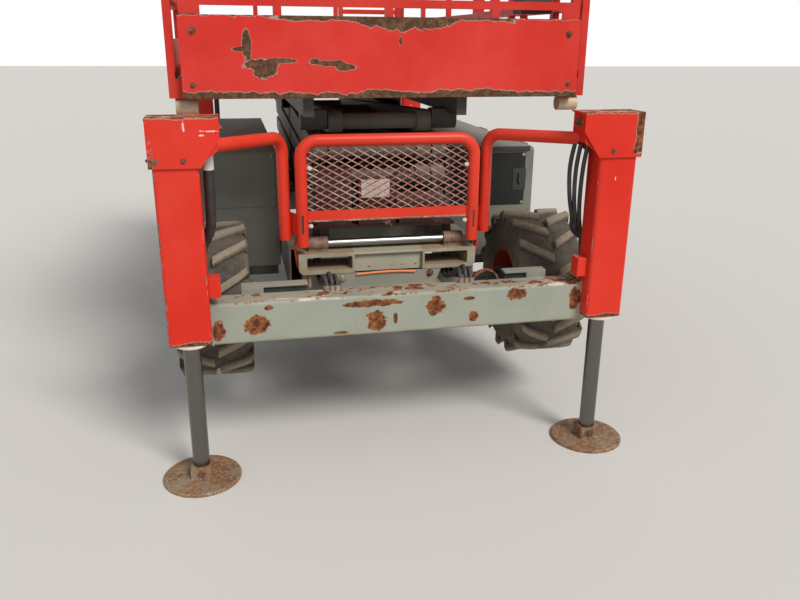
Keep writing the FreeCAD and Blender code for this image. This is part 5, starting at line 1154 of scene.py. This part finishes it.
class Welds:
    """Weld beads laid along lines by one node tree, as overlapping scales."""

    seed = 3
    overlap = 0.75

    def __init__(self) -> None:
        """Build the tree."""
        tree = self.tree = RepeatTree("weld_beads_along_line", Bead="Object", Step="Float", Seed="Int")
        line = tree.add("GeometryNodeMeshToCurve", {"Mesh": tree.asked[0]})
        even = tree.add("GeometryNodeResampleCurve", {"Curve": line[0], "Length": tree.asked["Step"]},
                        mode="LENGTH")
        along = tree.add("GeometryNodeInputTangent")
        turn = tree.add("FunctionNodeAlignRotationToVector", {"Vector": along[0]}, axis="X")
        size = tree.add("FunctionNodeRandomValue", {2: 0.85, 3: 1.15, "Seed": tree.asked["Seed"]},
                        data_type="FLOAT")
        tree.close(tree.copies(even[0], "Bead", Rotation=turn[0], Scale=size[1]))

    def lay(self, piece: Piece, lines: Lines, radius: float = 0.005) -> None:
        """Lay beads along lines.

        Args:
            piece: What they become.
            lines: The points of each weld.
            radius: Half the bead's width.
        """
        shape = bmesh.new()
        bmesh.ops.create_uvsphere(shape, u_segments=7, v_segments=4, radius=radius)
        bmesh.ops.scale(shape, vec=(self.overlap, 1.0, 1.0), verts=shape.verts)
        self.tree.run(line_carrier(piece.name, lines), piece, Bead=scrap("bead", shape, linked=False),
                      Step=radius * self.overlap, Seed=self.seed)


class Rows:
    """A model repeated along a straight row by one node tree."""

    def __init__(self) -> None:
        """Build the tree."""
        tree = self.tree = RepeatTree("models_in_row", Model="Object", Count="Int", Start="Vector", Step="Vector")
        asked = tree.asked
        line = tree.add("GeometryNodeMeshLine",
                        {"Count": asked["Count"], "Start Location": asked["Start"], "Offset": asked["Step"]})
        tree.close(tree.copies(line[0], "Model"))

    def place(self, maker: Maker, count: int, start: Point, step: Point) -> None:
        """Repeat a model and keep the row as one piece.

        Args:
            maker: The piece, with the model's faces centred on the origin.
            count: How many there are.
            start: The first one's place.
            step: The way from one to the next.
        """
        model = scrap(maker.name + "_model", outward(maker.shape), linked=False)
        self.tree.run(scrap(maker.name, bmesh.new()), maker, Model=model, Count=count, Start=start, Step=step)


@dataclass
class Kit:
    """The shared makers of fasteners, hoses, welds and rows."""

    bolts: Bolts = field(default_factory=Bolts)
    hoses: Hoses = field(default_factory=Hoses)
    welds: Welds = field(default_factory=Welds)
    rows: Rows = field(default_factory=Rows)


@dataclass
class Trim:
    """The small pieces of one sub-assembly, made with the shared kit."""

    kit: Kit


@dataclass
class LegTrim(Trim):
    """Hood skins, hoses, tape, bolts, stop blocks, scraper rings and welds on the outrigger legs."""

    inner_x: float = 0.967
    outer_x: float = 1.176
    centre_x: float = 1.0685
    centre_y: float = 2.275
    front_y: float = 2.356
    skin: float = 0.007
    lap: float = 0.001
    hood: Tuple[float, float] = (1.607, 1.820)
    hood_inner_x: float = 0.868
    hood_cut: Tuple[float, float] = (1.733, 0.957)
    stop_z: Tuple[float, float] = (0.981, 1.081)
    stop_reach: float = 0.056
    stop_half: float = 0.040
    bolt_z: float = 1.640
    bolt_x: Tuple[float, float] = (1.030, 1.150)
    bolt_back: Tuple[float, float] = (0.032, 0.130)
    bolt: float = 0.014
    hose_radius: float = 0.0110
    fitting: Tuple[Tuple[float, float], ...] = ((-0.002, 0.0165), (0.024, 0.0165))
    sheath: Tuple[float, ...] = (1.585, 1.500, 1.400, 1.330, 1.265)
    tape: Tuple[float, ...] = (1.652, 1.630, 1.605, 1.585)
    ring: Tuple[Tuple[float, float], ...] = ((-0.020, 0.046), (-0.020, 0.066), (-0.014, 0.084), (-0.006, 0.086),
                                             (-0.001, 0.086), (-0.001, 0.046))
    ring_z: float = 0.757
    socket_half: float = 0.0545
    socket_z: float = 0.0185
    taut: Tuple[Tuple[Point, ...], ...] = (
        ((0.024, 0.010, 1.745), (0.027, 0.012, 1.650), (0.027, 0.018, 1.560), (0.026, 0.026, 1.430),
         (0.024, 0.044, 1.330), (0.006, 0.080, 1.235), (-0.018, 0.098, 1.140), (-0.030, 0.098, 1.000),
         (-0.034, 0.090, 0.950), (-0.036, 0.074, 0.932)),
        ((0.056, 0.014, 1.745), (0.048, 0.016, 1.650), (0.047, 0.022, 1.560), (0.046, 0.030, 1.430),
         (0.040, 0.052, 1.330), (0.016, 0.098, 1.235), (-0.044, 0.100, 1.140), (-0.060, 0.098, 1.000),
         (-0.064, 0.090, 0.950), (-0.066, 0.074, 0.932)),
    )
    slack: Tuple[Tuple[Point, ...], ...] = (
        ((0.030, -0.010, 1.745), (0.040, -0.006, 1.660), (0.050, 0.004, 1.540), (0.044, 0.026, 1.400),
         (0.022, 0.060, 1.280), (-0.010, 0.098, 1.190), (-0.030, 0.098, 1.020), (-0.034, 0.090, 0.950),
         (-0.036, 0.074, 0.932)),
        ((0.050, 0.016, 1.745), (0.066, 0.018, 1.660), (0.080, 0.020, 1.540), (0.072, 0.034, 1.400),
         (0.042, 0.066, 1.280), (0.006, 0.106, 1.190), (-0.060, 0.104, 1.100), (-0.066, 0.092, 0.960),
         (-0.068, 0.074, 0.932)),
        ((0.058, 0.044, 1.745), (0.086, 0.044, 1.660), (0.104, 0.042, 1.540), (0.092, 0.048, 1.400),
         (0.056, 0.078, 1.280), (0.020, 0.124, 1.190), (-0.092, 0.106, 1.090), (-0.098, 0.092, 0.960),
         (-0.100, 0.074, 0.932)),
    )

    def at(self, side: int, end: int, inward: float, back: float, height: float) -> Point:
        """Return a point given from the leg's inner face, its middle and the ground."""
        return (side * (self.inner_x - inward), end * (self.centre_y - back), height)

    @staticmethod
    def along(route: Sequence[Point], height: float) -> Point:
        """Return the point of a falling route at a height."""
        for above, below in zip(route, route[1:]):
            if above[2] >= height >= below[2]:
                share = (above[2] - height) / (above[2] - below[2])
                return (above[0] + (below[0] - above[0]) * share, above[1] + (below[1] - above[1]) * share, height)
        return route[0]

    def build(self) -> None:
        """Dress the four legs."""
        for corner in CORNERS:
            for dress in (self._skins, self._hoses, self._fasteners, self._rings, self._welds):
                dress(*corner)

    def _skins(self, corner: str, side: int, end: int) -> None:
        """Build the hood's folded front, side and lid plates and the cover of the stop block."""
        (low, high), (cut_z, cut_x) = self.hood, self.hood_cut
        top, outer, front = high + self.skin, self.outer_x + self.skin, end * (self.front_y - self.lap)
        back = end * (self.front_y - 2 * (self.front_y - self.centre_y))
        outline = ((outer, low), (outer, top), (self.hood_inner_x, top), (self.hood_inner_x, cut_z), (cut_x, low))
        skins = Maker("hood_skin_" + corner, Finish.RED_LEG, slot="red_paint")
        skins.sheet([(side * x, front, z) for x, z in outline], (0, end * self.skin, 0))
        skins.block((side * (self.outer_x - self.lap), front, low), (side * outer, back, top))
        skins.block((side * self.hood_inner_x, end * self.front_y, high - self.lap),
                    (side * self.outer_x, back, top - self.lap / 2))
        skins.block(self.at(side, end, -self.lap, -self.stop_half, self.stop_z[0]),
                    self.at(side, end, self.stop_reach, self.stop_half, self.stop_z[1]), 0.004)
        skins.done()

    def _hoses(self, corner: str, side: int, end: int) -> None:
        """Lay the hoses with their end fittings, and the sheath and tape of the left ones."""
        routes = self.slack if side > 0 else self.taut
        lines = [[self.at(side, end, *place) for place in route] for route in routes]
        self.kit.hoses.lay("leg_hoses_" + corner, lines, self.hose_radius)
        ends = Maker("hose_ends_" + corner, Finish.ZINC)
        for line in lines:
            ends.lathe(self.fitting, line[-1], (0, -end, 0), 6)
        ends.done()
        if side < 0:
            middle = [tuple((one + other) / 2 for one, other in zip(*places)) for places in zip(*routes)]
            for name, heights, radius, finish in (("hose_sheath_", self.sheath, 0.0245, Finish.HOSE),
                                                  ("hose_tape_", self.tape, 0.0265, Finish.TAPE)):
                line = [self.at(side, end, *self.along(middle, height)) for height in heights]
                self.kit.hoses.lay(name + corner, [line], radius, finish)

    def _fasteners(self, corner: str, side: int, end: int) -> None:
        """Set the hood's bolts on its outer, front and inner faces."""
        face, outer = self.front_y + self.skin, side * (self.outer_x + self.skin)
        bolts = [Bolt((side * across, end * face, self.bolt_z), (0, end, 0), self.bolt) for across in self.bolt_x]
        bolts += [Bolt((outer, end * (face - back), self.bolt_z), (side, 0, 0), self.bolt)
                  for back in self.bolt_back]
        self.kit.bolts.place(Piece("hood_bolts_" + corner, Finish.RUSTY_LUG), bolts, 11)
        spot = touch("outrigger_leg_" + corner, (side * 0.70, end * self.centre_y, 1.775), (side, 0, 0))
        self.kit.bolts.place(Piece("hood_side_bolt_" + corner, Finish.RUSTY_LUG),
                             [Bolt(tuple(spot), (-side, 0, 0), 0.030)], 4)

    def _rings(self, corner: str, side: int, end: int) -> None:
        """Build the pale scraper ring under the leg and the pad's cross bolt."""
        x, y = side * self.centre_x, end * self.centre_y
        ring = Maker("scraper_ring_" + corner, Finish.PLATE, smooth=True)
        ring.lathe(self.ring, (x, y, self.ring_z), (0, 0, 1), 44, closed=True)
        ring.done()
        foot = Maker("foot_bolt_" + corner, Finish.RUSTY_LUG, "outrigger_" + corner)
        for way in (-1, 1):
            foot.lathe([(0.0, 0.018), (0.010, 0.018), (0.012, 0.015)], (x, y + way * 0.0538, 0.052), (0, way, 0), 6)
        foot.done()

    def _welds(self, corner: str, side: int, end: int) -> None:
        """Weld the beam and the pad's socket."""
        x = side * (self.inner_x - self.lap)
        front, back = end * 2.267, end * 2.130
        lines = [[(x, front, 0.724), (x, front, 0.932)], [(x, front, 0.934), (x, back, 0.934)]]
        self.kit.welds.lay(Piece("beam_welds_" + corner, Finish.BEAM, smooth=True), lines)
        square = [(side * self.centre_x + across * self.socket_half, end * self.centre_y + along * self.socket_half,
                   self.socket_z) for across, along in ((-1, -1), (1, -1), (1, 1), (-1, 1), (-1, -1))]
        self.kit.welds.lay(Piece("socket_welds_" + corner, Finish.RUST, "outrigger_" + corner, smooth=True), [square])


@dataclass
class GuardTrim(Trim):
    """Mesh tabs and bolts, slots and welds of the front guard."""

    tab_x: float = 0.428
    tab_z: Tuple[float, float] = (1.205, 1.514)
    tab_y: Tuple[float, float] = (-1.862, -1.856)
    tube_x: float = 0.473
    tube_front: float = -1.882
    slot: Tuple[float, float] = (1.168, 1.268)
    weld_z: Tuple[float, float] = (1.226, 1.284)

    def build(self) -> None:
        """Dress the guard."""
        tabs, slots, bolts, lines = [], [], [], []
        front, back = self.tab_y
        for _, side in SIDES:
            for z in self.tab_z:
                tabs.append(((side * (self.tab_x - 0.008), front, z - 0.010),
                             (side * (self.tube_x - 0.024), back, z + 0.010)))
                bolts.append(Bolt((side * self.tab_x, front, z), (0, -1, 0), 0.013))
            x = side * self.tube_x
            slots.append(((x - 0.006, self.tube_front - 0.0006, self.slot[0]),
                          (x + 0.006, self.tube_front + 0.006, self.slot[1])))
            lines.append([(side * (self.tube_x - 0.030), -1.858, z) for z in self.weld_z])
        Maker("mesh_tabs", Finish.RED_GUARD, slot="red_paint").boxes(0.002, *tabs)
        # Painted shade: dark boxes stand for the shaded insides of the tube's slots.
        Maker("hoop_slots", Finish.DARK).boxes(0.002, *slots)
        self.kit.bolts.place(Piece("mesh_bolts", Finish.TAPE), bolts, 5)
        self.kit.welds.lay(Piece("guard_welds", Finish.RED_GUARD, smooth=True), lines, 0.004)


@dataclass
class NoseTrim(Trim):
    """Hose bundles, bolts, hook and sleeve round the fork frame and the nose plate."""

    bundle_x: Tuple[float, float, float] = (0.330, 0.358, 0.386)
    hose_radius: float = 0.0115
    hook: Tuple[Tuple[float, float], ...] = ((0.392, 0.936), (0.410, 0.962), (0.440, 0.982), (0.478, 0.992),
                                             (0.512, 0.984), (0.536, 0.962), (0.546, 0.934))
    hook_x: float = 0.466
    hook_reach: float = 0.075
    hook_thin: float = 0.006
    ledge_x: Tuple[Tuple[float, float], ...] = ((-0.815, -0.480), (0.580, 0.815))
    ledge_end: float = 0.110
    ledge_z: Tuple[float, float] = (0.925, 0.966)

    def build(self) -> None:
        """Dress the nose."""
        self._bundles()
        self._plate()
        self._hook()
        self._ledges()

    def _bundles(self) -> None:
        """Lay the hoses from the beam's top to the frame, with their end fittings."""
        lines = []
        ends = Maker("bundle_fittings", Finish.ZINC)
        for _, side in SIDES:
            for index, across in enumerate(self.bundle_x):
                lift = 0.012 * (index % 2)
                x = side * across
                lines.append([(x, -2.150, 0.925), (x, -2.128, 0.972 + lift),
                              (side * (across + 0.006), -2.060, 0.985 + lift),
                              (side * (across + 0.004), -1.960, 0.925 + lift), (x, -1.860, 0.885),
                              (x, -1.770, 0.893), (x, -1.696, 0.912)])
                ends.lathe([(0.0, 0.0175), (0.026, 0.0175)], (x, -2.150, 0.932), (0, 0.1, 1), 6)
                ends.lathe([(0.0, 0.0165), (0.030, 0.0165)], (x, -1.7005, 0.911), (0, -1, -0.2), 6)
        self.kit.hoses.lay("nose_hoses", lines, self.hose_radius)
        ends.done()

    def _plate(self) -> None:
        """Bolt the nose plate and lay the orange sleeve over its edge."""
        spots = {}
        for name, x, z, size, finish in (("left", -0.262, 0.900, 0.026, Finish.ZINC),
                                         ("right", 0.236, 0.905, 0.024, Finish.RUSTY_LUG)):
            spots[name] = touch("chassis_frame", (x, -2.10, z), (0, 1, 0))
            self.kit.bolts.place(Piece("nose_bolt_" + name, finish), [Bolt(tuple(spots[name]), (0, -1, 0), size)])
        edge = spots["left"].y - 0.004
        line = [(x, edge, z) for x, z in ((-0.185, 0.919), (-0.06, 0.926), (0.05, 0.926), (0.150, 0.920))]
        self.kit.hoses.lay("orange_sleeve", [line], 0.0075, Finish.ORANGE)

    def _ledges(self) -> None:
        """Build the plain box ledges behind the beam's top, clear of the steered tyres."""
        ledges = Maker("beam_ledges", Finish.FRAME_GREY, slot="grey_paint")
        low, high = self.ledge_z
        for start, stop in self.ledge_x:
            ledges.block((start, -2.132, high - 0.004), (stop, -2.070, 0.975), 0.002)
            outer = start if start < 0 else stop - self.ledge_end
            ledges.block((outer, -2.134, low), (outer + self.ledge_end, -2.074, high), 0.003)
        ledges.done()
        # Painted shade: near-black webs set back under the ledge tops.
        shaded_webs = [((start + 0.004, -2.112, low), (stop - 0.004, -2.076, high)) for start, stop in self.ledge_x]
        Maker("ledge_webs", Finish.DARK, slot="dark_steel").boxes(0.002, *shaded_webs)

    def _hook(self) -> None:
        """Build the bent rusty strap that hooks over the beam's rear edge."""
        thin = self.hook_thin
        inner = [(x + (self.hook_x - x) * thin / self.hook_reach, z - thin) for x, z in reversed(self.hook)]
        hook = Maker("beam_hook", Finish.RUSTY_LUG)
        hook.sheet([(x, -2.136, z) for x, z in [*self.hook, *inner]], (0, 0.034, 0))
        hook.done()


@dataclass
class ModuleTrim(Trim):
    """Panels, latches, louvres and bolts on the two side modules and their doors."""

    front_y: float = -1.026
    door_x: float = 1.161

    def build(self) -> None:
        """Dress both modules."""
        self._fronts()
        for name, side in SIDES:
            self._door(name, side)
            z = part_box("cabinet_" + name)[0].z
            # Painted shade: a near-black strip hung below each module's front.
            skirt = (side * 0.565, self.front_y + 0.004, z - 0.060), (side * 1.100, self.front_y + 0.014, z + 0.004)
            Maker("front_skirt_" + name, Finish.DARK, slot="dark_steel").boxes(0.002, skirt)

    def _fronts(self) -> None:
        """Build the right front's near-black panel of painted shade, its rubber strip and latch, and the left front's
        folded seam.
        """
        y = self.front_y
        # Painted shade: a near-black panel over the right front's upper half.
        Maker("dark_front_panel", Finish.MODULE_DARK).boxes(
            0.002, ((0.585, y - 0.005, 1.102), (1.098, y + 0.001, 1.452)))
        Maker("rubber_strip_right", Finish.PLASTIC).boxes(
            0.004, ((0.560, y - 0.010, 1.460), (1.126, y + 0.002, 1.490)))
        self._latch("front_latch_right", "chassis", (1.058, y - 0.005, 1.272), (1, 0, 0), (0, -1, 0))
        self._corner_bolts("front_panel_bolts", (0.600, 1.083), y - 0.005, (1.116, 1.436))
        Maker("front_seam_left", Finish.MODULE, slot="grey_paint").boxes(
            0.002, ((-1.120, y - 0.004, 1.146), (-0.562, y + 0.001, 1.478)),
            ((-1.126, y - 0.012, 1.478), (-0.556, y + 0.001, 1.488)))
        self._corner_bolts("front_seam_bolts", (-1.104, -0.578), y - 0.004, (1.162, 1.462))

    def _corner_bolts(self, name: str, across: Tuple[float, float], y: float, upward: Tuple[float, float]) -> None:
        """Set a bolt in each corner of a front plate.

        Args:
            name: The piece's name.
            across: The bolts' two places along X.
            y: The plate's face.
            upward: Their two heights.
        """
        bolts = [Bolt((x, y, z), (0, -1, 0), 0.012) for x in across for z in upward]
        self.kit.bolts.place(Piece(name, Finish.ZINC), bolts)

    @staticmethod
    def _latch(name: str, body: str, at: Point, across: Point, out: Point) -> None:
        """Build a paddle latch: a frame, a dark dish and a lever.

        Args:
            name: The piece's name.
            body: The body it rides on.
            at: The middle of its face.
            across: The way to its side.
            out: The way out of the face.
        """
        centre, side, away, up = Vector(at), Vector(across), Vector(out), Vector((0, 0, 1))
        corners = []
        for half_x, half_z, low, high, shift in ((0.046, 0.072, -0.002, 0.004, 0.0), (0.036, 0.060, 0.003, 0.0055, 0.0),
                                                 (0.010, 0.034, 0.004, 0.018, 0.010)):
            corners.append((centre - side * half_x + up * (shift - half_z) + away * low,
                            centre + side * half_x + up * (shift + half_z) + away * high))
        Maker(name, Finish.PLASTIC, body).boxes(0.0015, *corners)

    def _door(self, name: str, side: int) -> None:
        """Dress one lifting door with louvres, latches and ribs."""
        body = "door_" + name
        x = side * self.door_x
        slat = Maker("door_louvres_" + name, Finish.MODULE, body)
        slat.sheet([(0, -0.15, -0.010), (0, -0.15, 0.010), (side * 0.011, -0.15, -0.006)], (0, 0.30, 0))
        self.kit.rows.place(slat, 9, (x, 0.62, 1.150), (0, 0, 0.030))
        for index, along in enumerate((-0.62, 0.30)):
            spot = touch("cabinet_door_" + name, (side * 2.0, along, 0.92), (-side, 0, 0))
            self._latch("door_latch_%s_%d" % (name, index), body, spot, (0, 1, 0), (side, 0, 0))
        ribs = [((x - side * 0.001, -0.960, z - 0.009), (x + side * 0.004, 1.034, z + 0.009)) for z in (0.840, 1.432)]
        Maker("door_ribs_" + name, Finish.MODULE, body, "grey_paint").boxes(0.002, *ribs)


@dataclass
class ScissorTrim(Trim):
    """Pin keepers and bolts on the arm frames."""

    base: float = 1.090
    pitch: float = 0.158
    face_x: float = 0.380
    levels: int = 4
    plate: float = 0.006
    bolt_up: float = 0.040

    def build(self) -> None:
        """Dress the outer arm frames at their middle pins."""
        for level in range(1, self.levels + 1):
            body = "outer_frame_%d" % level
            z = self.base + (level - 0.5) * self.pitch
            keepers = Maker("pin_keepers_%d" % level, Finish.ARM_GREY, body, "grey_paint")
            bolts = []
            for _, side in SIDES:
                x = side * self.face_x
                face = x + side * self.plate
                keepers.block((x - side * 0.002, -0.016, z - 0.050), (face, 0.016, z + 0.050), 0.002)
                keepers.lathe([(0.0, 0.034), (0.004, 0.034), (0.007, 0.030)], (x, 0.0, z), (side, 0, 0), 24)
                bolts += [Bolt((face, 0.0, z + way * self.bolt_up), (side, 0, 0), 0.011) for way in (-1, 1)]
            keepers.done()
            self.kit.bolts.place(Piece("keeper_bolts_%d" % level, Finish.ZINC, body), bolts)


@dataclass
class DriveTrim(Trim):
    """The blank plate, pipes and bands of the hydraulic block, and the kingpin caps."""

    plate_x: Tuple[float, float] = (-0.135, 0.024)
    plate_z: Tuple[float, float] = (1.325, 1.425)
    look_z: float = 1.360
    pipe_radius: float = 0.009
    kingpin: Tuple[float, float] = (0.867, -1.570)

    def build(self) -> None:
        """Dress the hydraulics and the steering."""
        face, tank = (touch("hydraulic_block", (x, -3.0, self.look_z), (0, 1, 0)).y for x in (-0.05, -0.285))
        (left, right), (low, high) = self.plate_x, self.plate_z
        Maker("blank_plate", Finish.PLATE).boxes(0.001, ((left, face - 0.003, low), (right, face + 0.001, high)))
        pipes = (((0.03, -0.005, 1.430), (0.08, -0.020, 1.470), (0.17, -0.012, 1.450), (0.20, 0.01, 1.390)),
                 ((-0.10, -0.004, 1.300), (-0.14, -0.022, 1.268), (-0.20, -0.018, 1.262), (-0.26, -0.012, 1.262)),
                 ((0.02, -0.004, 1.295), (0.08, -0.020, 1.262), (0.20, -0.018, 1.258), (0.34, -0.010, 1.262)))
        lines = [[(x, face + out, z) for x, out, z in pipe] for pipe in pipes]
        self.kit.hoses.lay("valve_pipes", lines, self.pipe_radius, Finish.PUMP)
        bands = [((-0.382, tank - 0.004, z), (-0.188, tank + 0.001, z + 0.022)) for z in (1.255, 1.420)]
        Maker("tank_bands", Finish.DARK).boxes(0.001, *bands)
        for name, side in SIDES:
            cap = Maker("kingpin_cap_" + name, Finish.DARK, "knuckle_" + name, "dark_steel", True)
            spot = touch("steering_knuckle_" + name, (side * self.kingpin[0], self.kingpin[1], 2.0), (0, 0, -1))
            cap.lathe([(-0.004, 0.030), (0.004, 0.030), (0.010, 0.024), (0.011, 0.001)], spot, (0, 0, 1), 24)
            cap.done()


@dataclass
class PlatformTrim(Trim):
    """Bolts, stop button, switches and gate latch on the platform and the extension."""

    panel_y: float = -1.858
    panel_bolts: Tuple[Point, ...] = ((0.972, 2.188, 0.020), (0.985, 1.935, 0.016))
    switch_x: Tuple[float, ...] = (-0.055, -0.030, -0.005)
    latch_z: Tuple[float, float] = (2.640, 2.740)

    def build(self) -> None:
        """Dress the platform."""
        bolts = [Bolt((side * x, self.panel_y, z), (0, -1, 0), size)
                 for _, side in SIDES for x, z, size in self.panel_bolts]
        self.kit.bolts.place(Piece("panel_bolts", Finish.RUSTY_LUG, "extension"), bolts)
        self._control_box()
        self._gate()

    def _control_box(self) -> None:
        """Build the control box's stop button with its collar, and its switches."""
        low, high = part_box("control_box")
        middle = (low.x + high.x) / 2
        top = touch("control_box", (middle + 0.050, low.y + 0.045, 4.0), (0, 0, -1))
        button = ((0.004, 0.010), (0.014, 0.010), (0.015, 0.020), (0.024, 0.019), (0.028, 0.010), (0.029, 0.001))
        for name, finish, profile in (("collar", Finish.YELLOW, ((-0.006, 0.026), (0.004, 0.026), (0.006, 0.024))),
                                      ("button", Finish.STOP_RED, button)):
            round_part = Maker("stop_" + name, finish, "extension", smooth=True)
            round_part.lathe(profile, top, (0, 0, 1), 28)
            round_part.done()
        switches = Maker("toggle_switches", Finish.ZINC, "extension")
        for shift in self.switch_x:
            spot = touch("control_box", (middle + shift, low.y + 0.030, 4.0), (0, 0, -1))
            switches.lathe([(-0.003, 0.007), (0.005, 0.007)], spot, (0, 0, 1), 6)
            switches.lathe([(0.004, 0.0025), (0.022, 0.0032), (0.024, 0.001)], spot, (0.2, 0, 1), 10)
        switches.done()

    def _gate(self) -> None:
        """Build the gate's slam latch."""
        low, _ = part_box("entry_gate")
        foot, top = self.latch_z
        latch = Maker("gate_latch", Finish.ZINC, "gate", smooth=True)
        latch.block((low.x + 0.004, low.y - 0.006, foot), (low.x + 0.050, low.y + 0.004, top), 0.003)
        latch.lathe([(0.0, 0.008), (0.030, 0.008), (0.034, 0.014), (0.046, 0.014), (0.050, 0.010)],
                    (low.x + 0.027, low.y - 0.004, (foot + top) / 2), (0, -1, 0), 16)
        latch.done()


@dataclass
class Studio:
    """The floor, the lights, the world and the camera at the photograph's angle."""

    camera_at: Point = (-0.824, -5.871, 2.156)
    yaw: float = 12.462
    pitch: float = -18.827
    roll: float = 0.458
    focal_pixels: float = 764.9
    image_width: float = 800.0
    sensor: float = 36.0
    reach: float = 200.0
    floor: float = 60.0
    sky: Colour = (0.93, 0.96, 1.0)
    sky_strength: float = 0.46

    def build(self) -> None:
        """Build the stage."""
        scene = bpy.context.scene
        scene.view_settings.view_transform = "Standard"
        self._camera(scene)
        self._world(scene)
        self._lights(scene)
        shape = bmesh.new()
        bmesh.ops.create_grid(shape, x_segments=1, y_segments=1, size=self.floor)
        floor = scrap("floor", shape)
        floor.data.materials.append(StudioFloor().build())

    def _camera(self, scene: bpy.types.Scene) -> None:
        """Set the camera."""
        data = bpy.data.cameras.new("photo_camera")
        data.sensor_width = self.sensor
        data.lens = self.focal_pixels / self.image_width * self.sensor
        data.clip_end = self.reach
        camera = bpy.data.objects.new("photo_camera", data)
        turn = Matrix.Identity(4)
        for angle, axis in ((-self.yaw, "Z"), (90.0 + self.pitch, "X"), (self.roll, "Z")):
            turn = turn @ Matrix.Rotation(math.radians(angle), 4, axis)
        camera.matrix_world = Matrix.Translation(self.camera_at) @ turn
        scene.collection.objects.link(camera)
        scene.camera = camera

    def _world(self, scene: bpy.types.Scene) -> None:
        """Set an even soft sky that looks white where it is seen."""
        scene.world = bpy.data.worlds.new("studio")
        scene.world.use_nodes = True
        nodes = Nodes(scene.world.node_tree)
        path = nodes.add("ShaderNodeLightPath")
        seen = Value(nodes, path["Is Glossy Ray"]).most(path["Is Transmission Ray"]).most(path["Is Camera Ray"])
        soft = nodes.add("ShaderNodeBackground", {0: (*self.sky, 1.0), 1: self.sky_strength})
        white = nodes.add("ShaderNodeBackground", {0: (1.0, 1.0, 1.0, 1.0), 1: 1.0})
        mix = nodes.add("ShaderNodeMixShader", {0: seen, 1: soft[0], 2: white[0]})
        nodes.add("ShaderNodeOutputWorld", {0: mix[0]})

    @staticmethod
    def _lights(scene: bpy.types.Scene) -> None:
        """Set a soft key from the front right and a weak fill from the left."""
        for name, strength, angle, towards, colour in (("key", 2.75, 22.0, (-0.34, 0.68, -0.72), (1.0, 0.97, 0.92)),
                                                       ("fill", 0.24, 60.0, (0.8, 0.5, -0.4), (1.0, 1.0, 1.0))):
            data = bpy.data.lights.new(name, "SUN")
            data.energy = strength
            data.angle = math.radians(angle)
            data.color = colour
            lamp = bpy.data.objects.new(name, data)
            lamp.rotation_euler = Vector(towards).to_track_quat("-Z", "Y").to_euler()
            scene.collection.objects.link(lamp)


def at_corners(kind: str) -> Tuple[str, ...]:
    """Return the names of the four CAD nodes of a kind."""
    return tuple(kind + corner for corner, _, _ in CORNERS)


NODE_FINISHES: Tuple[Tuple[Finish, Tuple[str, ...]], ...] = (
    (Finish.RED_LEG, at_corners("outrigger_leg_")),
    (Finish.RED_GUARD, ("front_guard",)),
    (Finish.RED_RAIL, ("platform_rails", "extension_rails", "entry_gate")),
    (Finish.RED_DECK, ("platform_frame",)),
    (Finish.RED_PANEL, ("extension_deck",)),
    (Finish.BEAM, ("front_beam", "rear_beam")),
    (Finish.FRAME_GREY, ("chassis_frame", "scissor_tracks", "platform_ladder")),
    (Finish.FORK_GREY, ("fork_pocket_frame",)),
    (Finish.MODULE, ("cabinet_left", "cabinet_right", "cabinet_door_left", "cabinet_door_right")),
    (Finish.ARM_GREY, tuple(kind + str(level) for kind in ("outer_arms_", "inner_arms_") for level in range(1, 5))),
    (Finish.ARM_GREY, ("lift_cylinder_barrel",)),
    (Finish.CHROME, at_corners("outrigger_rod_") + ("lift_cylinder_rod", "steering_rod")),
    (Finish.RUST, at_corners("outrigger_pad_")),
    (Finish.BRIGHT, ("cross_rod",)),
    (Finish.DARK, ("axle_front", "axle_rear", "steering_knuckle_left", "steering_knuckle_right", "engine_block",
                   "tank_block")),
    (Finish.PUMP, ("hydraulic_block",)),
    (Finish.RED_RIM, at_corners("rim_")),
    (Finish.NYLON, ("deck_rollers",)),
    (Finish.PLASTIC, ("control_box",)),
)


def paint_nodes() -> None:
    """Give every CAD node its finish."""
    painted = set()
    for finish, names in NODE_FINISHES:
        for name in names:
            slots = NODES[name].material_slots
            if not slots:
                NODES[name].data.materials.append(finish.material())
            for slot in slots:
                slot.material = finish.material()
        painted.update(names)
    LOG.info("painted %d nodes, left to their own pieces: %s", len(painted), sorted(set(NODES) - painted))


def main() -> None:
    """Build the studio, then each sub-assembly's dress."""
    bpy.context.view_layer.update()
    Studio().build()
    paint_nodes()
    kit = Kit()
    tyres = Tyres()
    tyres.build()
    Wheels(tyres).build(kit.bolts)
    GuardMesh().build()
    for trim in (LegTrim, GuardTrim, NoseTrim, ModuleTrim, ScissorTrim, DriveTrim, PlatformTrim):
        trim(kit).build()


if __name__ == "__main__":
    main()
